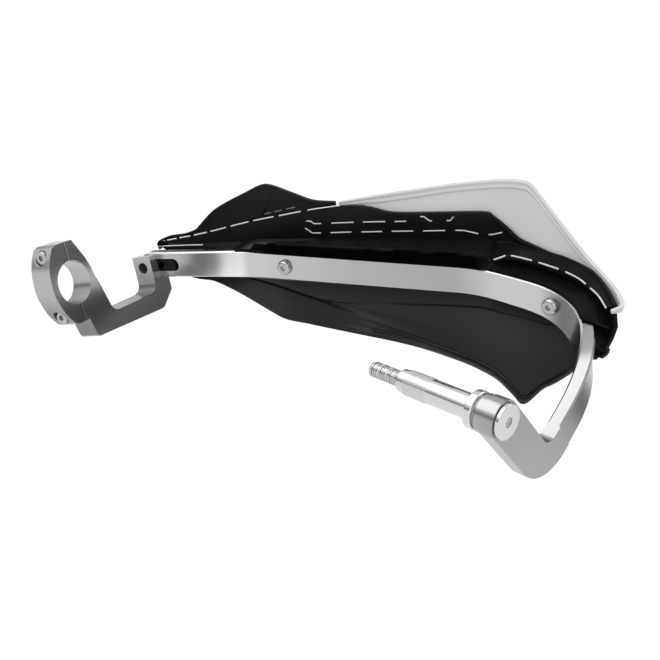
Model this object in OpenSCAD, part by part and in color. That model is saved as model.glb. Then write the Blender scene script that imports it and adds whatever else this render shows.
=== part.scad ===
// Motorcycle hand guard for the right-hand side.
// Frame: X runs along the handlebar's bar-end plug and points outboard,
// Y points forward, Z points up. The origin lies on the plug's axis at the
// end face of the handlebar.

/* [Handlebar clamp] */
// Distance from the handlebar's end inboard to the clamp's outboard face
clamp_inboard = 273.3; // [266:0.5:282]
// Diameter of the handlebar that the clamp grips
clamp_bore_d = 28.6; // [25.4:0.1:31.8]
// Thickness of the clamp along the handlebar
clamp_t = 16; // [14:0.5:20]
// Wall of the clamp around the bore at its waist
clamp_wall = 5.2; // [4:0.1:7]
// Height of each screw lug beyond the bore
clamp_lug_h = 12.6; // [12:0.1:15]
// Gap between the cap and the arm on the split line
clamp_gap = 1; // [0.4:0.1:2]
// Diameter of the clamp screws
clamp_screw_d = 5; // [4:0.5:6]

/* [Clamp arm] */
// Distance from the bore's centre forward to the rear face of the upright
arm_reach = 76.5; // [70:0.5:90]
// Wall of the upright between its rear face and the backbone bar
arm_seat_wall = 8; // [6:0.5:12]
// Distance from the bore's centre down to the underside of the arm
arm_drop = 42; // [39:0.5:50]
// Height of the arm's lower run
arm_h = 13; // [11:0.5:16]
// Distance from the bore's centre down to the backbone bar's bolt
arm_bolt_drop = 10.3; // [6:0.1:14]

/* [Backbone bar] */
// Width of the flat bar
bar_w = 19; // [17:0.5:22]
// Thickness of the flat bar
bar_t = 8; // [6:0.5:9]
// Chamfer along the bar's edges
bar_chamfer = 1; // [0.4:0.1:1.5]
// Width of the slot at the inner end
slot_w = 9.4; // [8.8:0.1:10.5]
// Distance between the centres of the slot's round ends
slot_l = 22.5; // [18:0.5:30]
// Distance from the plug's axis to the elbow of the end plate
leg_l = 62.5; // [56:0.5:70]

/* [Bar end plug] */
// Diameter of the boss at the end of the backbone bar
boss_d = 20; // [18:0.5:22]
// Diameter of the expansion sleeve inside the handlebar
sleeve_d = 13.4; // [12:0.1:16]
// Length of the expansion sleeve
sleeve_l = 42; // [30:1:55]
// Diameter of the plug's bolt
stud_d = 8; // [6:0.5:8]
// Length of thread that stands past the cone
stud_past_cone = 21; // [10:1:30]
// Diameter of the plug bolt's round head
head_d = 18.6; // [16:0.1:19]

/* [Shell] */
// Wall of the black shell
shell_t = 2.4; // [1.8:0.1:3]
// Wall of the wind deflector and the wing
deflector_t = 2.2; // [1.6:0.1:3]
// Gap between the shell and the forward face of the bar
shell_gap = 3.5; // [3:0.1:5]
// Diameter of the screws that hold the shell
shell_screw_d = 6; // [5:0.5:6]

/* [Hidden] */

$fn = 48;
overlap = 0.5;
seat_gap = 0.05;

// The plug's stack along X, outboard positive
plate_x = 17.8;
plate_mid_x = plate_x - bar_t / 2;
boss_x0 = 5.9;
ring_x0 = seat_gap;
ring_x1 = 4.7;
neck_d = boss_d - 3;
head_x = plate_x + 2.6;
cone_l = 3;
cone_x0 = -sleeve_l - cone_l;
stud_x0 = cone_x0 - stud_past_cone;
bolt_clear = 0.3;

// The end plate's two legs in the Y Z plane
leg_a = -46.5;
rise_a = 37.7;
elbow_r = 30;
inner_elbow_r = 8;
rise_start = 22;
rise_bend = 62;
leg_w = boss_d + 1;
elbow = leg_l * [cos(leg_a), sin(leg_a)];

// The clamp's frame: local X forward, local Y up, local Z outboard along the handlebar
clamp_pos = [-clamp_inboard, -63.6, 15.4];
clamp_yaw = 20;
clamp_tilt = 12;
clamp_half_h = clamp_bore_d / 2 + clamp_lug_h;
clamp_r = clamp_bore_d / 2 + clamp_wall;
clamp_screw_y = clamp_bore_d / 2 + clamp_lug_h / 2 - 0.3;
clamp_head_d = 1.7 * clamp_screw_d;

// The clamp's directions in the part's frame
dir_out = [cos(clamp_yaw) * cos(clamp_tilt), sin(clamp_yaw) * cos(clamp_tilt), sin(clamp_tilt)];
dir_fwd = [-sin(clamp_yaw), cos(clamp_yaw), 0];
dir_up = cross(dir_out, dir_fwd);

// Corners of the backbone bar's centre line, from the end plate to the arm
bolt_fwd = arm_reach + arm_seat_wall + bar_t / 2;
bolt_pos = clamp_pos + bolt_fwd * dir_fwd - arm_bolt_drop * dir_up - clamp_t / 2 * dir_out;
function on_rise(x, d) = [x, elbow[0] + d * cos(rise_a), elbow[1] + d * sin(rise_a)];
corners = [
    on_rise(plate_mid_x, rise_start), on_rise(plate_mid_x - 0.8, rise_bend),
    [-10.5, 111.5, 21], [-68, 97.5, 28.5], [-230, 46, 15], bolt_pos
];
leans = [rise_a, 8, 2, 12, 1, 4];
end_past_bolt = 7;

// Blend at each corner: how far it reaches back and on, as a share of each side
function side(i) = norm(corners[i + 1] - corners[i]);
blend_in = [0, 0.75, 0.5, 14 / side(2), 12 / side(3), 0];
blend_out = [0, 0.5, 0.5, 14 / side(3), 12 / side(4), 0];
blend_steps = [0, 8, 8, 4, 3, 0];

function unit(v) = v / norm(v);
function mix(a, b, t) = a + (b - a) * t;
function bow(a, k, b, u) = (1 - u) * (1 - u) * a + 2 * u * (1 - u) * k + u * u * b;
function bow_at(list, i, u) =
    bow(mix(list[i], list[i - 1], blend_in[i]), list[i], mix(list[i], list[i + 1], blend_out[i]), u);
function along(list) = concat(
    [list[0]],
    [for (i = [1 : 4], j = [(i == 2 ? 1 : 0) : blend_steps[i]]) bow_at(list, i, j / blend_steps[i])]
);
bar_end = bolt_pos + end_past_bolt * unit(bolt_pos - corners[4]);
path = concat(along(corners), [bolt_pos, bar_end]);
path_lean = concat(along(leans), [leans[5], leans[5]]);
last = len(path) - 1;

// Each station of the bar has a position, a tangent, a width direction and a face direction
function path_tangent(i) = unit(path[min(i + 1, last)] - path[max(i - 1, 0)]);
function width_dir(t, lean) = let (w = [0, -sin(lean), cos(lean)]) unit(w - (w * t) * t);
function frame_of(p, t, lean) = let (w = width_dir(t, lean)) [p, t, w, cross(t, w)];
frames = [for (i = [0 : last]) frame_of(path[i], path_tangent(i), path_lean[i])];

// Distance along the bar, from the arm's bolt outboard
function run_to(i) = i == last ? -end_past_bolt : run_to(i + 1) + norm(path[i + 1] - path[i]);
runs = [for (i = [0 : last]) run_to(i)];
function table(k) = [for (i = [last : -1 : 0]) [runs[i], path[i][k]]];
table_x = table(0);
table_y = table(1);
table_z = table(2);
table_lean = [for (i = [last : -1 : 0]) [runs[i], path_lean[i]]];
function bar_at(s) = [lookup(s, table_x), lookup(s, table_y), lookup(s, table_z)];
function bar_tangent(s) = unit(bar_at(s - 2) - bar_at(s + 2));
function bar_frame(s) = frame_of(bar_at(s), bar_tangent(s), lookup(s, table_lean));

// A point beside the bar: level distance forward of its centre line, and height above it
function level_normal(s) = let (f = bar_frame(s)[3]) unit([f[0], f[1], 0]);
function beside(s, h, z) = bar_at(s) + h * level_normal(s) + [0, 0, z];

// A smooth curve through a list of points or numbers
function smooth_at(a, b, c, d, u) =
    0.5 * (2 * b + (c - a) * u + (2 * a - 5 * b + 4 * c - d) * u * u + (3 * b - a - 3 * c + d) * u * u * u);
function smooth(list, n) = let (m = len(list) - 1) concat(
    [for (i = [0 : m - 1], j = [0 : n - 1])
        smooth_at(i == 0 ? 2 * list[0] - list[1] : list[i - 1], list[i], list[i + 1],
            i == m - 1 ? 2 * list[m] - list[m - 1] : list[i + 2], j / n)],
    [list[m]]
);

// Lines of the shell, from the inner end outboard. Each point is the distance along the bar,
// the level distance forward of the bar's centre line, and the height above it.
// The forward distances count from a bar 8 thick with a gap of 3.5.
face_h = bar_t / 2 + shell_gap;
half_w = bar_w / 2;
lift = half_w - 9.5;
line_rim = [
    [-1, 9, 10.3], [6, 9, 10.5], [28, 5.5, -10.7], [50, 4.5, -14.4], [64.5, 4, -19.5], [80, 4, -26.7],
    [98, 4, -35.3], [113, 4, -41.2], [131, 4, -42.9], [149, 4, -44.7], [176, 4, -47.1], [202, 3.5, -49.2],
    [224.5, 2.5, -51.5], [245.3, 0, -54.2], [258.5, -2, -56], [272.5, -4, -58.6], [284, -6.5, -64.4],
    [291.5, -8, -66.8], [300, -3, -55.5], [305.5, 0, -49], [312, 2, -40], [317.5, 4, -31.2],
    [322, 8, -22], [326.5, 11.5, -17.5]
];
line_low_crease = [
    [-1, 9, 10.7], [6, 9, 11], [28, 6.5, -8], [49, 7, -9.8], [65, 7.6, -11.8], [82, 8, -14.6],
    [101, 8.4, -18.4], [115, 8.6, -21.9], [132, 8.8, -26], [150, 8.4, -30.6], [176, 8, -36.5],
    [200, 7.5, -41.7], [226, 6.5, -47.8], [247.5, 4.5, -52.2], [260.5, 2.5, -54], [273, 0, -56],
    [284.5, -3.5, -60.6], [291.5, -5, -62.6], [299.5, -1, -52.5], [305, 2, -46], [311.5, 4, -37],
    [317, 6, -28], [321.5, 9.5, -19.5], [328.2, 12.4, -13]
];
line_high_crease = [
    [-1, 9, 11], [6, 9, 11.5], [28, 7.4, -7.4], [49, 7.6, -9.3], [65, 8, -11], [82, 8.6, -13.4],
    [101, 9.2, -17], [115, 9.6, -20.4], [133, 9.8, -24.6], [152, 10, -26.4], [176, 10, -26],
    [199, 10, -25], [224, 10, -23.6], [249, 9.5, -22], [260, 7.5, -20.8], [267.5, 6.2, -20.2],
    [277, 6, -19], [286.5, 6, -18.6], [297, 6, -17.3], [304, 6.5, -15.5], [311, 8, -13.5], [317, 10, -11],
    [322, 12, -8.5], [330.3, 13.4, -7]
];
line_behind_low = [
    [-1, 9, 11.4], [6, 9, 11.9], [28, 7.6, -5], [48, 7.5, -8], [66, 7.5, -8.5], [84, 7.5, -8.8],
    [103, 7.5, -9], [117, 7.5, -9], [132, 7.5, -9], [153, 7.5, -9], [175, 7.5, -9], [190, 7.5, -9],
    [218, 7.5, -9], [248, 7.5, -9], [259, 8.5, -9.5], [267, 9.5, -10], [278, 9.5, -10], [287, 9.5, -9.5],
    [297, 9.5, -8.5], [304.5, 9.5, -6], [312, 10.5, -3], [318, 12, -1], [324, 12.9, 1], [333.5, 13.8, 3.5]
];
line_behind_high = [
    [-1, 9.3, 11.8], [6, 9, 12.2], [28, 8.4, 8], [48, 8, 8.5], [66, 7.5, 8.5], [84, 7.5, 8.5],
    [103, 7.5, 8.5], [117, 7.5, 8.5], [132, 7.5, 8.5], [153, 7.5, 8.5], [175, 7.5, 8.5], [190, 7.5, 8.5],
    [218, 7.5, 8.5], [248, 7.5, 8.5], [259, 7.5, 9], [267, 8, 9.5], [278, 8, 10], [287.5, 8.5, 10.5],
    [297, 9, 11], [304.5, 10, 11.5], [312, 11.5, 12.5], [318.5, 12.9, 13], [325, 12.9, 13.5],
    [337, 13.8, 14.5]
];
line_ridge = [
    [-1, 11, 12.2], [6, 11, 12.6], [28, 11, 12.6], [48, 11.5, 12.6], [66, 12, 12.6], [85, 13, 12.8],
    [105, 14, 13.4], [119, 15, 14], [134, 15.5, 14.8], [157, 16, 15.9], [175, 16.5, 16.6],
    [190, 17, 17.3], [218, 17, 18.7], [247, 17, 19.8], [257, 17, 21], [266, 17.4, 22], [273, 16.9, 22],
    [287.5, 14.8, 22.6], [297.5, 14, 22.9], [304, 14, 23.1], [312, 14, 23.6], [318.5, 14, 23],
    [324, 14, 21.7], [332, 13.8, 20.5]
];
line_top = [
    [-1, 12, 13], [6, 12, 14.3], [28, 12, 17.2], [46, 12, 20.1], [65, 12, 23.8], [84.6, 12, 27.5],
    [106, 12, 31.6], [117, 12, 33.8], [130, 12.5, 36.3], [154.5, 13, 39.8], [172, 13, 39.2],
    [189, 13, 36], [217.5, 13, 36.7], [248.5, 13.5, 38.1], [254.5, 14, 36.2], [261.5, 15, 31],
    [271.5, 16, 24.4], [287.5, 15.1, 23.6], [297.5, 14.3, 23.9], [304, 14.3, 24.1], [312, 14.3, 24.6],
    [318.5, 14.3, 24], [324, 14.3, 22.7], [331.8, 13.9, 21.5]
];
wall_bulge = 0.5;
section_steps = 2;
function shell_point(q) = beside(q[0], q[1] + face_h - 7.5, q[2] + (q[2] > 0 ? lift : -lift));
function shell_line(line) = smooth([for (q = line) shell_point(q)], section_steps);
full_bulge_height = 16;
function half_way(a, b, bulge) = [for (i = [0 : len(a) - 1])
    (a[i] + b[i]) / 2 + [0, bulge * min(1, norm(b[i] - a[i]) / full_bulge_height), 0]];
skin_rows = [
    shell_line(line_rim), shell_line(line_low_crease), shell_line(line_high_crease),
    shell_line(line_behind_low), shell_line(line_behind_high), shell_line(line_ridge),
    half_way(shell_line(line_ridge), shell_line(line_top), wall_bulge), shell_line(line_top)
];

// The shelf that covers the bar's upper edge: its rear fold, and where it meets the shell
shelf_lift = 0.4;
shelf_t = 1.7;
shelf_rear_end = 322.5;
bar_clear = 0.3;
line_shelf_fold = [
    [77, 4.6, 10.8], [86, 2, 12.4], [97, -1, 14], [110, -3.5, 15], [130, -4, 15.4], [160, -4, 15.4],
    [200, -4, 15.2], [235, -4, 15.1], [255, -4, 15.6]
];
line_shelf_front = [
    [77, 9.5, 11.5], [86, 14, 12.8], [97, 14.6, 13.2], [110, 15.4, 13.6], [130, 16.4, 14.6],
    [160, 17, 16], [200, 18, 17.8], [235, 18, 19.3], [255, 18, 20.8], [262, 9.5, 11.6], [275, 9.5, 11.6],
    [289, 10, 11.8], [299, 10.5, 12], [307, 11.5, 12.4], [315, 12.2, 13], [324, 13, 11.8],
    [333, 13.4, 8.6]
];
outer_fold_runs = [262, 275, 289, 299, 307, 315, 321.5, 327];
fold_clear = 0.6;
function shelf_rear(s) = let (f = bar_frame(s)) f[0] - bar_t / 2 * f[3] + (half_w + shelf_lift) * f[2];
function outer_fold(s) = let (f = bar_frame(s))
    f[0] + (bar_t / 2 + fold_clear) * f[3] + (half_w + fold_clear) * f[2];
fold_runs = concat([for (q = line_shelf_fold) q[0]], outer_fold_runs);
shelf_rows = [
    smooth([for (s = fold_runs) shelf_rear(min(s, shelf_rear_end))], section_steps),
    smooth(concat([for (q = line_shelf_fold) shell_point(q)], [for (s = outer_fold_runs) outer_fold(s)]),
        section_steps),
    smooth([for (q = line_shelf_front) shell_point(q)], section_steps)
];

// The flange that reaches inward from the shell's upper edge at its outer end
flange_t = 2;
line_flange_outer = [
    [250, 18, 20.3], [257, 18, 21], [266, 18.2, 22], [273, 17.9, 22], [285, 16.6, 22.5],
    [297.5, 15.8, 22.9], [304, 15.8, 23.1], [312, 15.8, 23.6], [318.5, 15.8, 23], [324, 15.8, 21.7],
    [331.2, 15.8, 21]
];
line_flange_inner = [
    [251, -3.8, 15.6], [260, 0.5, 13.6], [266, 2, 16.2], [270.5, 3, 18.4], [283, 5, 18.5], [296, 6, 18.5],
    [303.5, 7, 18.8], [311, 8.5, 18.8], [317, 9.8, 18], [323, 10.5, 18.2], [330.5, 10.8, 18.6]
];
flange_rows = [
    smooth([for (q = line_flange_inner) shell_point(q)], section_steps),
    smooth([for (q = line_flange_outer) shell_point(q)], section_steps)
];

// The wing over the inner end
line_wing_low = [
    [-6.2, 14.9, 11.2], [-3, 14.9, 11.4], [7, 14.9, 11.8], [20, 14.9, 12.5], [30, 14.9, 13.5],
    [35, 14.9, 14.5], [41, 15, 15.5], [49, 15, 16.5], [59, 15.1, 18], [73, 15.3, 20.5], [86, 15.5, 22],
    [95, 15.6, 23.5], [111, 15.7, 26.5], [128, 15.8, 30.5], [146, 15.8, 34]
];
line_wing_top = [
    [-6.2, 15, 12], [-4, 15, 14], [6.5, 15, 17.1], [19.3, 15.5, 18.5], [29.6, 15.5, 21.4], [33.8, 16, 25],
    [39.2, 16, 29.8], [46.7, 16, 35.5], [57.2, 16, 40.6], [72.3, 16, 46.5], [86, 16, 52],
    [94.8, 16, 52.2], [111, 16, 47.3], [128, 16, 42.2], [146, 16, 41.5]
];
wing_bulge = 1.5;
deflector_bulge = 1.2;

// The wind deflector along the upper edge, with a hook around the shell's outer end
line_deflector_low = [
    [148, 17, 33.5], [158, 17, 34], [172, 17, 33.5], [189, 17, 30.5], [205, 17, 30.5], [222, 17, 31],
    [240, 17, 32], [251, 17.3, 30], [259, 18.5, 26], [267, 19.8, 20], [275, 19.4, 17], [284, 18.6, 17.5],
    [294, 17.8, 18], [303, 17.7, 18.3], [311, 17.7, 18.5], [318, 17.7, 17.5], [325, 17.9, 16.4],
    [329, 17.9, 17.5], [332, 17, 19.2], [333, 14.3, 19.6], [333.4, 11.8, 19.8]
];
line_deflector_top = [
    [148, 17.5, 41.3], [156, 17.8, 42.8], [171, 18, 45.5], [185, 18, 47.8], [200, 18, 50.1],
    [223.5, 18, 53.8], [240, 18, 55.8], [254, 18, 57.8], [263, 18, 59.2], [269, 17.8, 59.9],
    [273.5, 17.6, 59.5], [279.5, 17.3, 55], [290, 16.6, 45.4], [300, 16.6, 35.4], [309, 17.1, 28.6],
    [317, 17.8, 24.8], [324.3, 18.5, 23.3], [330.8, 17.9, 23.1], [332.8, 16.9, 22.9], [333.6, 14.3, 22.3],
    [333.9, 11.8, 21.5]
];

// Screws that hold the shell to the bar, measured along the bar
inner_screw_run = 118;
outer_screw_run = 302;
shell_head_d = 1.75 * shell_screw_d;
shell_head_h = 3.2;
insert_d = shell_screw_d + 4;
insert_wall_d = insert_d + 4;
insert_l = shell_gap + shell_t - 0.4;

// Small screws that hold the wing and the wind deflector to bosses on the shell
small_screw_d = 4;
small_head_d = 11;
small_head_h = 2;
small_insert_d = 5.6;
small_boss_d = 8;
small_boss_l = 6.4;
small_boss_root = 1.2;
small_floor = 1.6;
small_insert_l = 4.4;
small_clear = 0.25;
small_socket = 2.5;
// Each small screw: distance along the bar, forward distance of the boss's end, and height
wing_screw_inner_at = [84, 18, 23.5];
wing_screw_outer_at = [117, 18.4, 29.5];
deflector_screw_inner_at = [166, 19.8, 36];
deflector_screw_middle_at = [219, 20, 33];
deflector_screw_outer_at = [236, 20.2, 33];
wing_screw_places = [wing_screw_inner_at, wing_screw_outer_at];
deflector_screw_places = [deflector_screw_inner_at, deflector_screw_middle_at, deflector_screw_outer_at];
small_screw_places = concat(wing_screw_places, deflector_screw_places);

// Places local X Y Z along the clamp's forward, up and outboard directions
module in_clamp() {
    translate(clamp_pos) rotate([0, 0, clamp_yaw]) rotate([0, -clamp_tilt, 0]) rotate([90, 0, 90])
        children();
}

// Places local X along the bar inboard, local Y across its width, local Z against its face normal
module in_bar_frame(f, shift = [0, 0, 0]) {
    x = f[1];
    y = f[2];
    z = cross(x, y);
    multmatrix([
        [x[0], y[0], z[0], f[0][0]],
        [x[1], y[1], z[1], f[0][1]],
        [x[2], y[2], z[2], f[0][2]],
        [0, 0, 0, 1]
    ]) translate(shift) children();
}

// A closed solid through rings of points that all have the same count
module swept(rings) {
    n = len(rings[0]);
    m = len(rings);
    points = [for (ring = rings, p = ring) p];
    sides = [for (i = [0 : m - 2], j = [0 : n - 1]) let (
        a = i * n + j, b = i * n + (j + 1) % n, c = a + n, d = b + n
    ) each [[a, b, c], [b, d, c]]];
    first_cap = [for (j = [1 : n - 2]) [0, j + 1, j]];
    last_cap = [for (j = [1 : n - 2]) [(m - 1) * n, (m - 1) * n + j, (m - 1) * n + j + 1]];
    polyhedron(points, concat(sides, first_cap, last_cap), convexity = 8);
}

// A wall of even thickness that grows to one side of a grid of points
function grid_normal(g, r, c) = let (
    rows = len(g) - 1, cols = len(g[0]) - 1,
    along_row = g[r][min(c + 1, cols)] - g[r][max(c - 1, 0)],
    across = g[min(r + 1, rows)][c] - g[max(r - 1, 0)][c]
) unit(cross(along_row, across));
module sheet(g, t, side = 1) {
    rows = len(g);
    cols = len(g[0]);
    far = [for (r = [0 : rows - 1], c = [0 : cols - 1]) g[r][c] + side * t * grid_normal(g, r, c)];
    near = [for (r = [0 : rows - 1], c = [0 : cols - 1]) g[r][c]];
    half = rows * cols;
    // A rim runs once around the grid, so both skins close along it
    rim = concat(
        [for (c = [0 : cols - 2]) c],
        [for (r = [0 : rows - 2]) r * cols + cols - 1],
        [for (c = [cols - 1 : -1 : 1]) (rows - 1) * cols + c],
        [for (r = [rows - 1 : -1 : 1]) r * cols]
    );
    k = len(rim);
    near_faces = [for (r = [0 : rows - 2], c = [0 : cols - 2]) let (a = r * cols + c)
        each [[a, a + 1, a + cols], [a + 1, a + cols + 1, a + cols]]];
    far_faces = [for (f = near_faces) [half + f[0], half + f[2], half + f[1]]];
    rim_faces = [for (i = [0 : k - 1]) let (a = rim[i], b = rim[(i + 1) % k])
        each [[b, a, half + a], [b, half + a, half + b]]];
    faces = concat(near_faces, far_faces, rim_faces);
    polyhedron(concat(near, far), side > 0 ? faces : [for (f = faces) [f[0], f[2], f[1]]], convexity = 8);
}

module chamfered_cylinder(d, h, c) {
    rotate_extrude() polygon([[0, 0], [d / 2 - c, 0], [d / 2, c], [d / 2, h - c], [d / 2 - c, h], [0, h]]);
}

// Socket-head screw: head above Z = 0, shank below
module socket_screw(d, head_d, head_h, shank, socket) {
    difference() {
        union() {
            chamfered_cylinder(head_d, head_h, 0.4);
            translate([0, 0, -shank]) cylinder(d = d, h = shank + overlap);
        }
        translate([0, 0, head_h * 0.45]) cylinder(d = socket, h = head_h, $fn = 6);
    }
}

// Button-head screw: a domed head above Z = 0, shank below
module button_screw(d, head_d, head_h, shank, socket) {
    difference() {
        union() {
            rotate_extrude() polygon(concat([[0, 0], [head_d / 2, 0]],
                [for (a = [0 : 15 : 90]) [head_d / 2 * cos(a * 0.62) , head_h * sin(a)]], [[0, head_h]]));
            translate([0, 0, -shank]) cylinder(d = d, h = shank + overlap);
        }
        translate([0, 0, head_h * 0.4]) cylinder(d = socket, h = head_h, $fn = 6);
    }
}

// Outline of the end plate in the Y Z plane
module end_plate_outline() {
    n_low_a = [sin(leg_a), -cos(leg_a)];
    n_low_b = [sin(rise_a), -cos(rise_a)];
    // Centre of a round that touches both lower edges
    reach_a = leg_w / 2 - elbow_r;
    reach_b = n_low_b * elbow + bar_w / 2 - elbow_r;
    det = n_low_a[0] * n_low_b[1] - n_low_a[1] * n_low_b[0];
    centre = [
        (reach_a * n_low_b[1] - reach_b * n_low_a[1]) / det,
        (n_low_a[0] * reach_b - n_low_b[0] * reach_a) / det
    ];
    far = 3 * elbow_r;
    difference() {
        union() {
            circle(d = leg_w);
            rotate(leg_a) translate([0, -leg_w / 2]) square([leg_l + leg_w / 2, leg_w]);
            translate(elbow) rotate(rise_a) translate([-bar_w / 2, -bar_w / 2])
                square([bar_w / 2 + rise_start + overlap, bar_w]);
        }
        difference() {
            polygon([centre, centre + far * n_low_a, centre + far * unit(n_low_a + n_low_b),
                centre + far * n_low_b]);
            circle_at(centre, elbow_r);
        }
    }
    inner_elbow_fillet();
}

module circle_at(p, r) {
    translate(p) circle(r = r, $fn = 96);
}

// Fills the inside corner between the two legs with a round
module inner_elbow_fillet() {
    n_up_a = [-sin(leg_a), cos(leg_a)];
    n_up_b = [-sin(rise_a), cos(rise_a)];
    det = n_up_a[0] * n_up_b[1] - n_up_a[1] * n_up_b[0];
    function meet(a, b) = [(a * n_up_b[1] - b * n_up_a[1]) / det, (n_up_a[0] * b - n_up_b[0] * a) / det];
    edge_a = leg_w / 2;
    edge_b = n_up_b * elbow + bar_w / 2;
    corner = meet(edge_a, edge_b);
    centre = meet(edge_a + inner_elbow_r, edge_b + inner_elbow_r);
    difference() {
        polygon([corner - overlap * unit(centre - corner), centre - inner_elbow_r * n_up_a,
            centre - inner_elbow_r * n_up_b]);
        circle_at(centre, inner_elbow_r);
    }
}

// Section of the flat bar: face direction first, width direction second
function bar_section(grow) = let (a = bar_t / 2 + grow, b = bar_w / 2 + grow, c = bar_chamfer) [
    [a, -b + c], [a, b - c], [a - c, b], [-a + c, b], [-a, b - c], [-a, -b + c], [-a + c, -b], [a - c, -b]
];
function bar_rings(grow) = [for (f = frames) [for (q = bar_section(grow)) f[0] + q[0] * f[3] + q[1] * f[2]]];

module backbone_bar() {
    color([0.72, 0.73, 0.74]) difference() {
        union() {
            swept(bar_rings(0));
            rotate([90, 0, 90]) translate([0, 0, plate_x - bar_t]) linear_extrude(bar_t)
                end_plate_outline();
            translate([boss_x0, 0, 0]) rotate([0, 90, 0])
                chamfered_cylinder(boss_d, plate_x - boss_x0, 0.8);
            translate([ring_x1, 0, 0]) rotate([0, 90, 0]) cylinder(d = neck_d, h = boss_x0 - ring_x1 + overlap);
            boss_cradle();
        }
        translate([ring_x0 - 1, 0, 0]) rotate([0, 90, 0])
            cylinder(d = stud_d + 2 * bolt_clear, h = plate_x + 2);
        in_bar_frame(frames[last - 1]) slot_and_round_end();
        in_bar_frame(bar_frame(inner_screw_run)) shell_screw_hole();
        in_bar_frame(bar_frame(outer_screw_run)) shell_screw_hole();
    }
}

// A thin cradle under the boss that reaches inboard past the spacer ring
module boss_cradle() {
    wall = 1.2;
    clear = 0.3;
    start = 1;
    room = 2 * boss_d;
    translate([start, 0, 0]) rotate([0, 90, 0]) rotate([0, 0, leg_a + 180]) difference() {
        cylinder(d = boss_d + 2 * (wall + clear), h = plate_x - bar_t - start + overlap);
        translate([0, 0, -1]) cylinder(d = boss_d + 2 * clear, h = boss_x0 - start);
        for (a = [-45, 45]) rotate([0, 0, a]) translate([-room, 0, -2]) cube([2 * room, room, room]);
    }
}

module slot_and_round_end() {
    deep = 3 * bar_t;
    translate([0, 0, -deep / 2]) cylinder(d = slot_w, h = deep);
    translate([-slot_l, 0, -deep / 2]) cylinder(d = slot_w, h = deep);
    translate([-slot_l, -slot_w / 2, -deep / 2]) cube([slot_l, slot_w, deep]);
    difference() {
        translate([end_past_bolt - half_w, -bar_w, -deep / 2]) cube([bar_w, 2 * bar_w, deep]);
        translate([end_past_bolt - half_w, 0, -deep]) cylinder(r = half_w, h = 2 * deep);
    }
}

module shell_screw_hole() {
    translate([0, 0, -bar_t]) cylinder(d = shell_screw_d + 2 * bolt_clear, h = 2 * bar_t);
    translate([0, 0, -1.5 * bar_t]) cylinder(d = shell_head_d + 2 * bolt_clear, h = bar_t);
}

// Outline of the clamp's arm, local X forward and local Y up from the bore's centre
module clamp_arm_outline() {
    top = clamp_half_h;
    low = -arm_drop;
    floor_y = low + arm_h;
    rear = arm_reach;
    front = arm_reach + arm_seat_wall + bar_t + 1;
    upright_top = -arm_bolt_drop + half_w - 2;
    waist = clamp_r - 0.3;
    foot = clamp_r + 14;
    polygon([
        [clamp_gap / 2, top], [7, top], [14.9, 13.1], [waist - 1.6, 6], [waist, -0.6],
        [foot - 11.7, -7], [foot - 6.9, floor_y + 5.5], [foot - 5.5, floor_y + 2.6],
        [foot - 3.3, floor_y + 0.7], [foot, floor_y],
        [rear - 7, floor_y], [rear - 3, floor_y + 1.2], [rear - 0.8, floor_y + 4], [rear, floor_y + 8],
        [rear, upright_top], [front, upright_top], [front, low + 10], [front - 13, low - 0.5],
        [front - 17, low - 1], [9, low + 1.5], [7.3, low + 3], [4, -top + 0.6], [2.6, -top],
        [clamp_gap / 2, -top]
    ]);
}

module clamp_cap_outline() {
    top = clamp_half_h;
    intersection() {
        polygon([
            [-clamp_gap / 2, top], [-7.5, top], [-11.3, top - 1.4], [-15.5, 19], [-17.4, 14.3], [-18.6, 10],
            [-clamp_r + 0.3, 5.6], [-clamp_r, 0.4], [-clamp_r + 0.3, -4.3], [-17.9, -8.8], [-16.4, -13.2],
            [-14.8, -17.1], [-12.4, -top + 5.9], [-9.8, -top + 2.5], [-7.4, -top + 0.5], [-5.5, -top], [-clamp_gap / 2, -top]
        ]);
        translate([-2 * clamp_r, -2 * top]) square([2 * clamp_r - clamp_gap / 2, 4 * top]);
    }
}

// Both clamp halves share one bore
module clamp_bore() {
    translate([0, 0, -2 * clamp_t]) cylinder(d = clamp_bore_d, h = 3 * clamp_t, $fn = 96);
}

// Places a clamp screw: local Z points rearward out of the cap
module at_clamp_screw(up) {
    translate([clamp_screw_seat(up), up * clamp_screw_y, -clamp_t / 2]) rotate([0, -90, 0]) children();
}
function clamp_screw_seat(up) = up > 0 ? -10.5 : -8.2;
clamp_screw_l = 22;
clamp_screw_hole_l = 24;

module clamp_arm() {
    color([0.62, 0.63, 0.65]) difference() {
        in_clamp() difference() {
            translate([0, 0, -clamp_t]) linear_extrude(clamp_t) clamp_arm_outline();
            clamp_bore();
            for (up = [-1, 1]) at_clamp_screw(up)
                translate([0, 0, -clamp_screw_hole_l]) cylinder(d = clamp_screw_d, h = clamp_screw_hole_l);
        }
        in_bar_frame(frames[last - 1]) arm_seat_cut();
        in_bar_frame(frames[last - 1]) translate([0, 0, -3 * bar_t]) cylinder(d = stud_d, h = 4 * bar_t);
    }
}

// Room for the bar's inner end on the arm: all that is forward of the bar's rear face
module arm_seat_cut() {
    room = 60;
    translate([-room, -half_w - seat_gap, -bar_t / 2 - seat_gap]) cube([2 * room, room, room]);
}

module clamp_cap() {
    color([0.66, 0.67, 0.69]) in_clamp() difference() {
        translate([0, 0, -clamp_t]) linear_extrude(clamp_t) clamp_cap_outline();
        clamp_bore();
        for (up = [-1, 1]) at_clamp_screw(up) {
            cylinder(d = clamp_head_d + 3 * bolt_clear, h = clamp_r);
            translate([0, 0, -clamp_screw_hole_l])
                cylinder(d = clamp_screw_d + 2 * bolt_clear, h = clamp_screw_hole_l + clamp_r);
        }
    }
}

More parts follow.
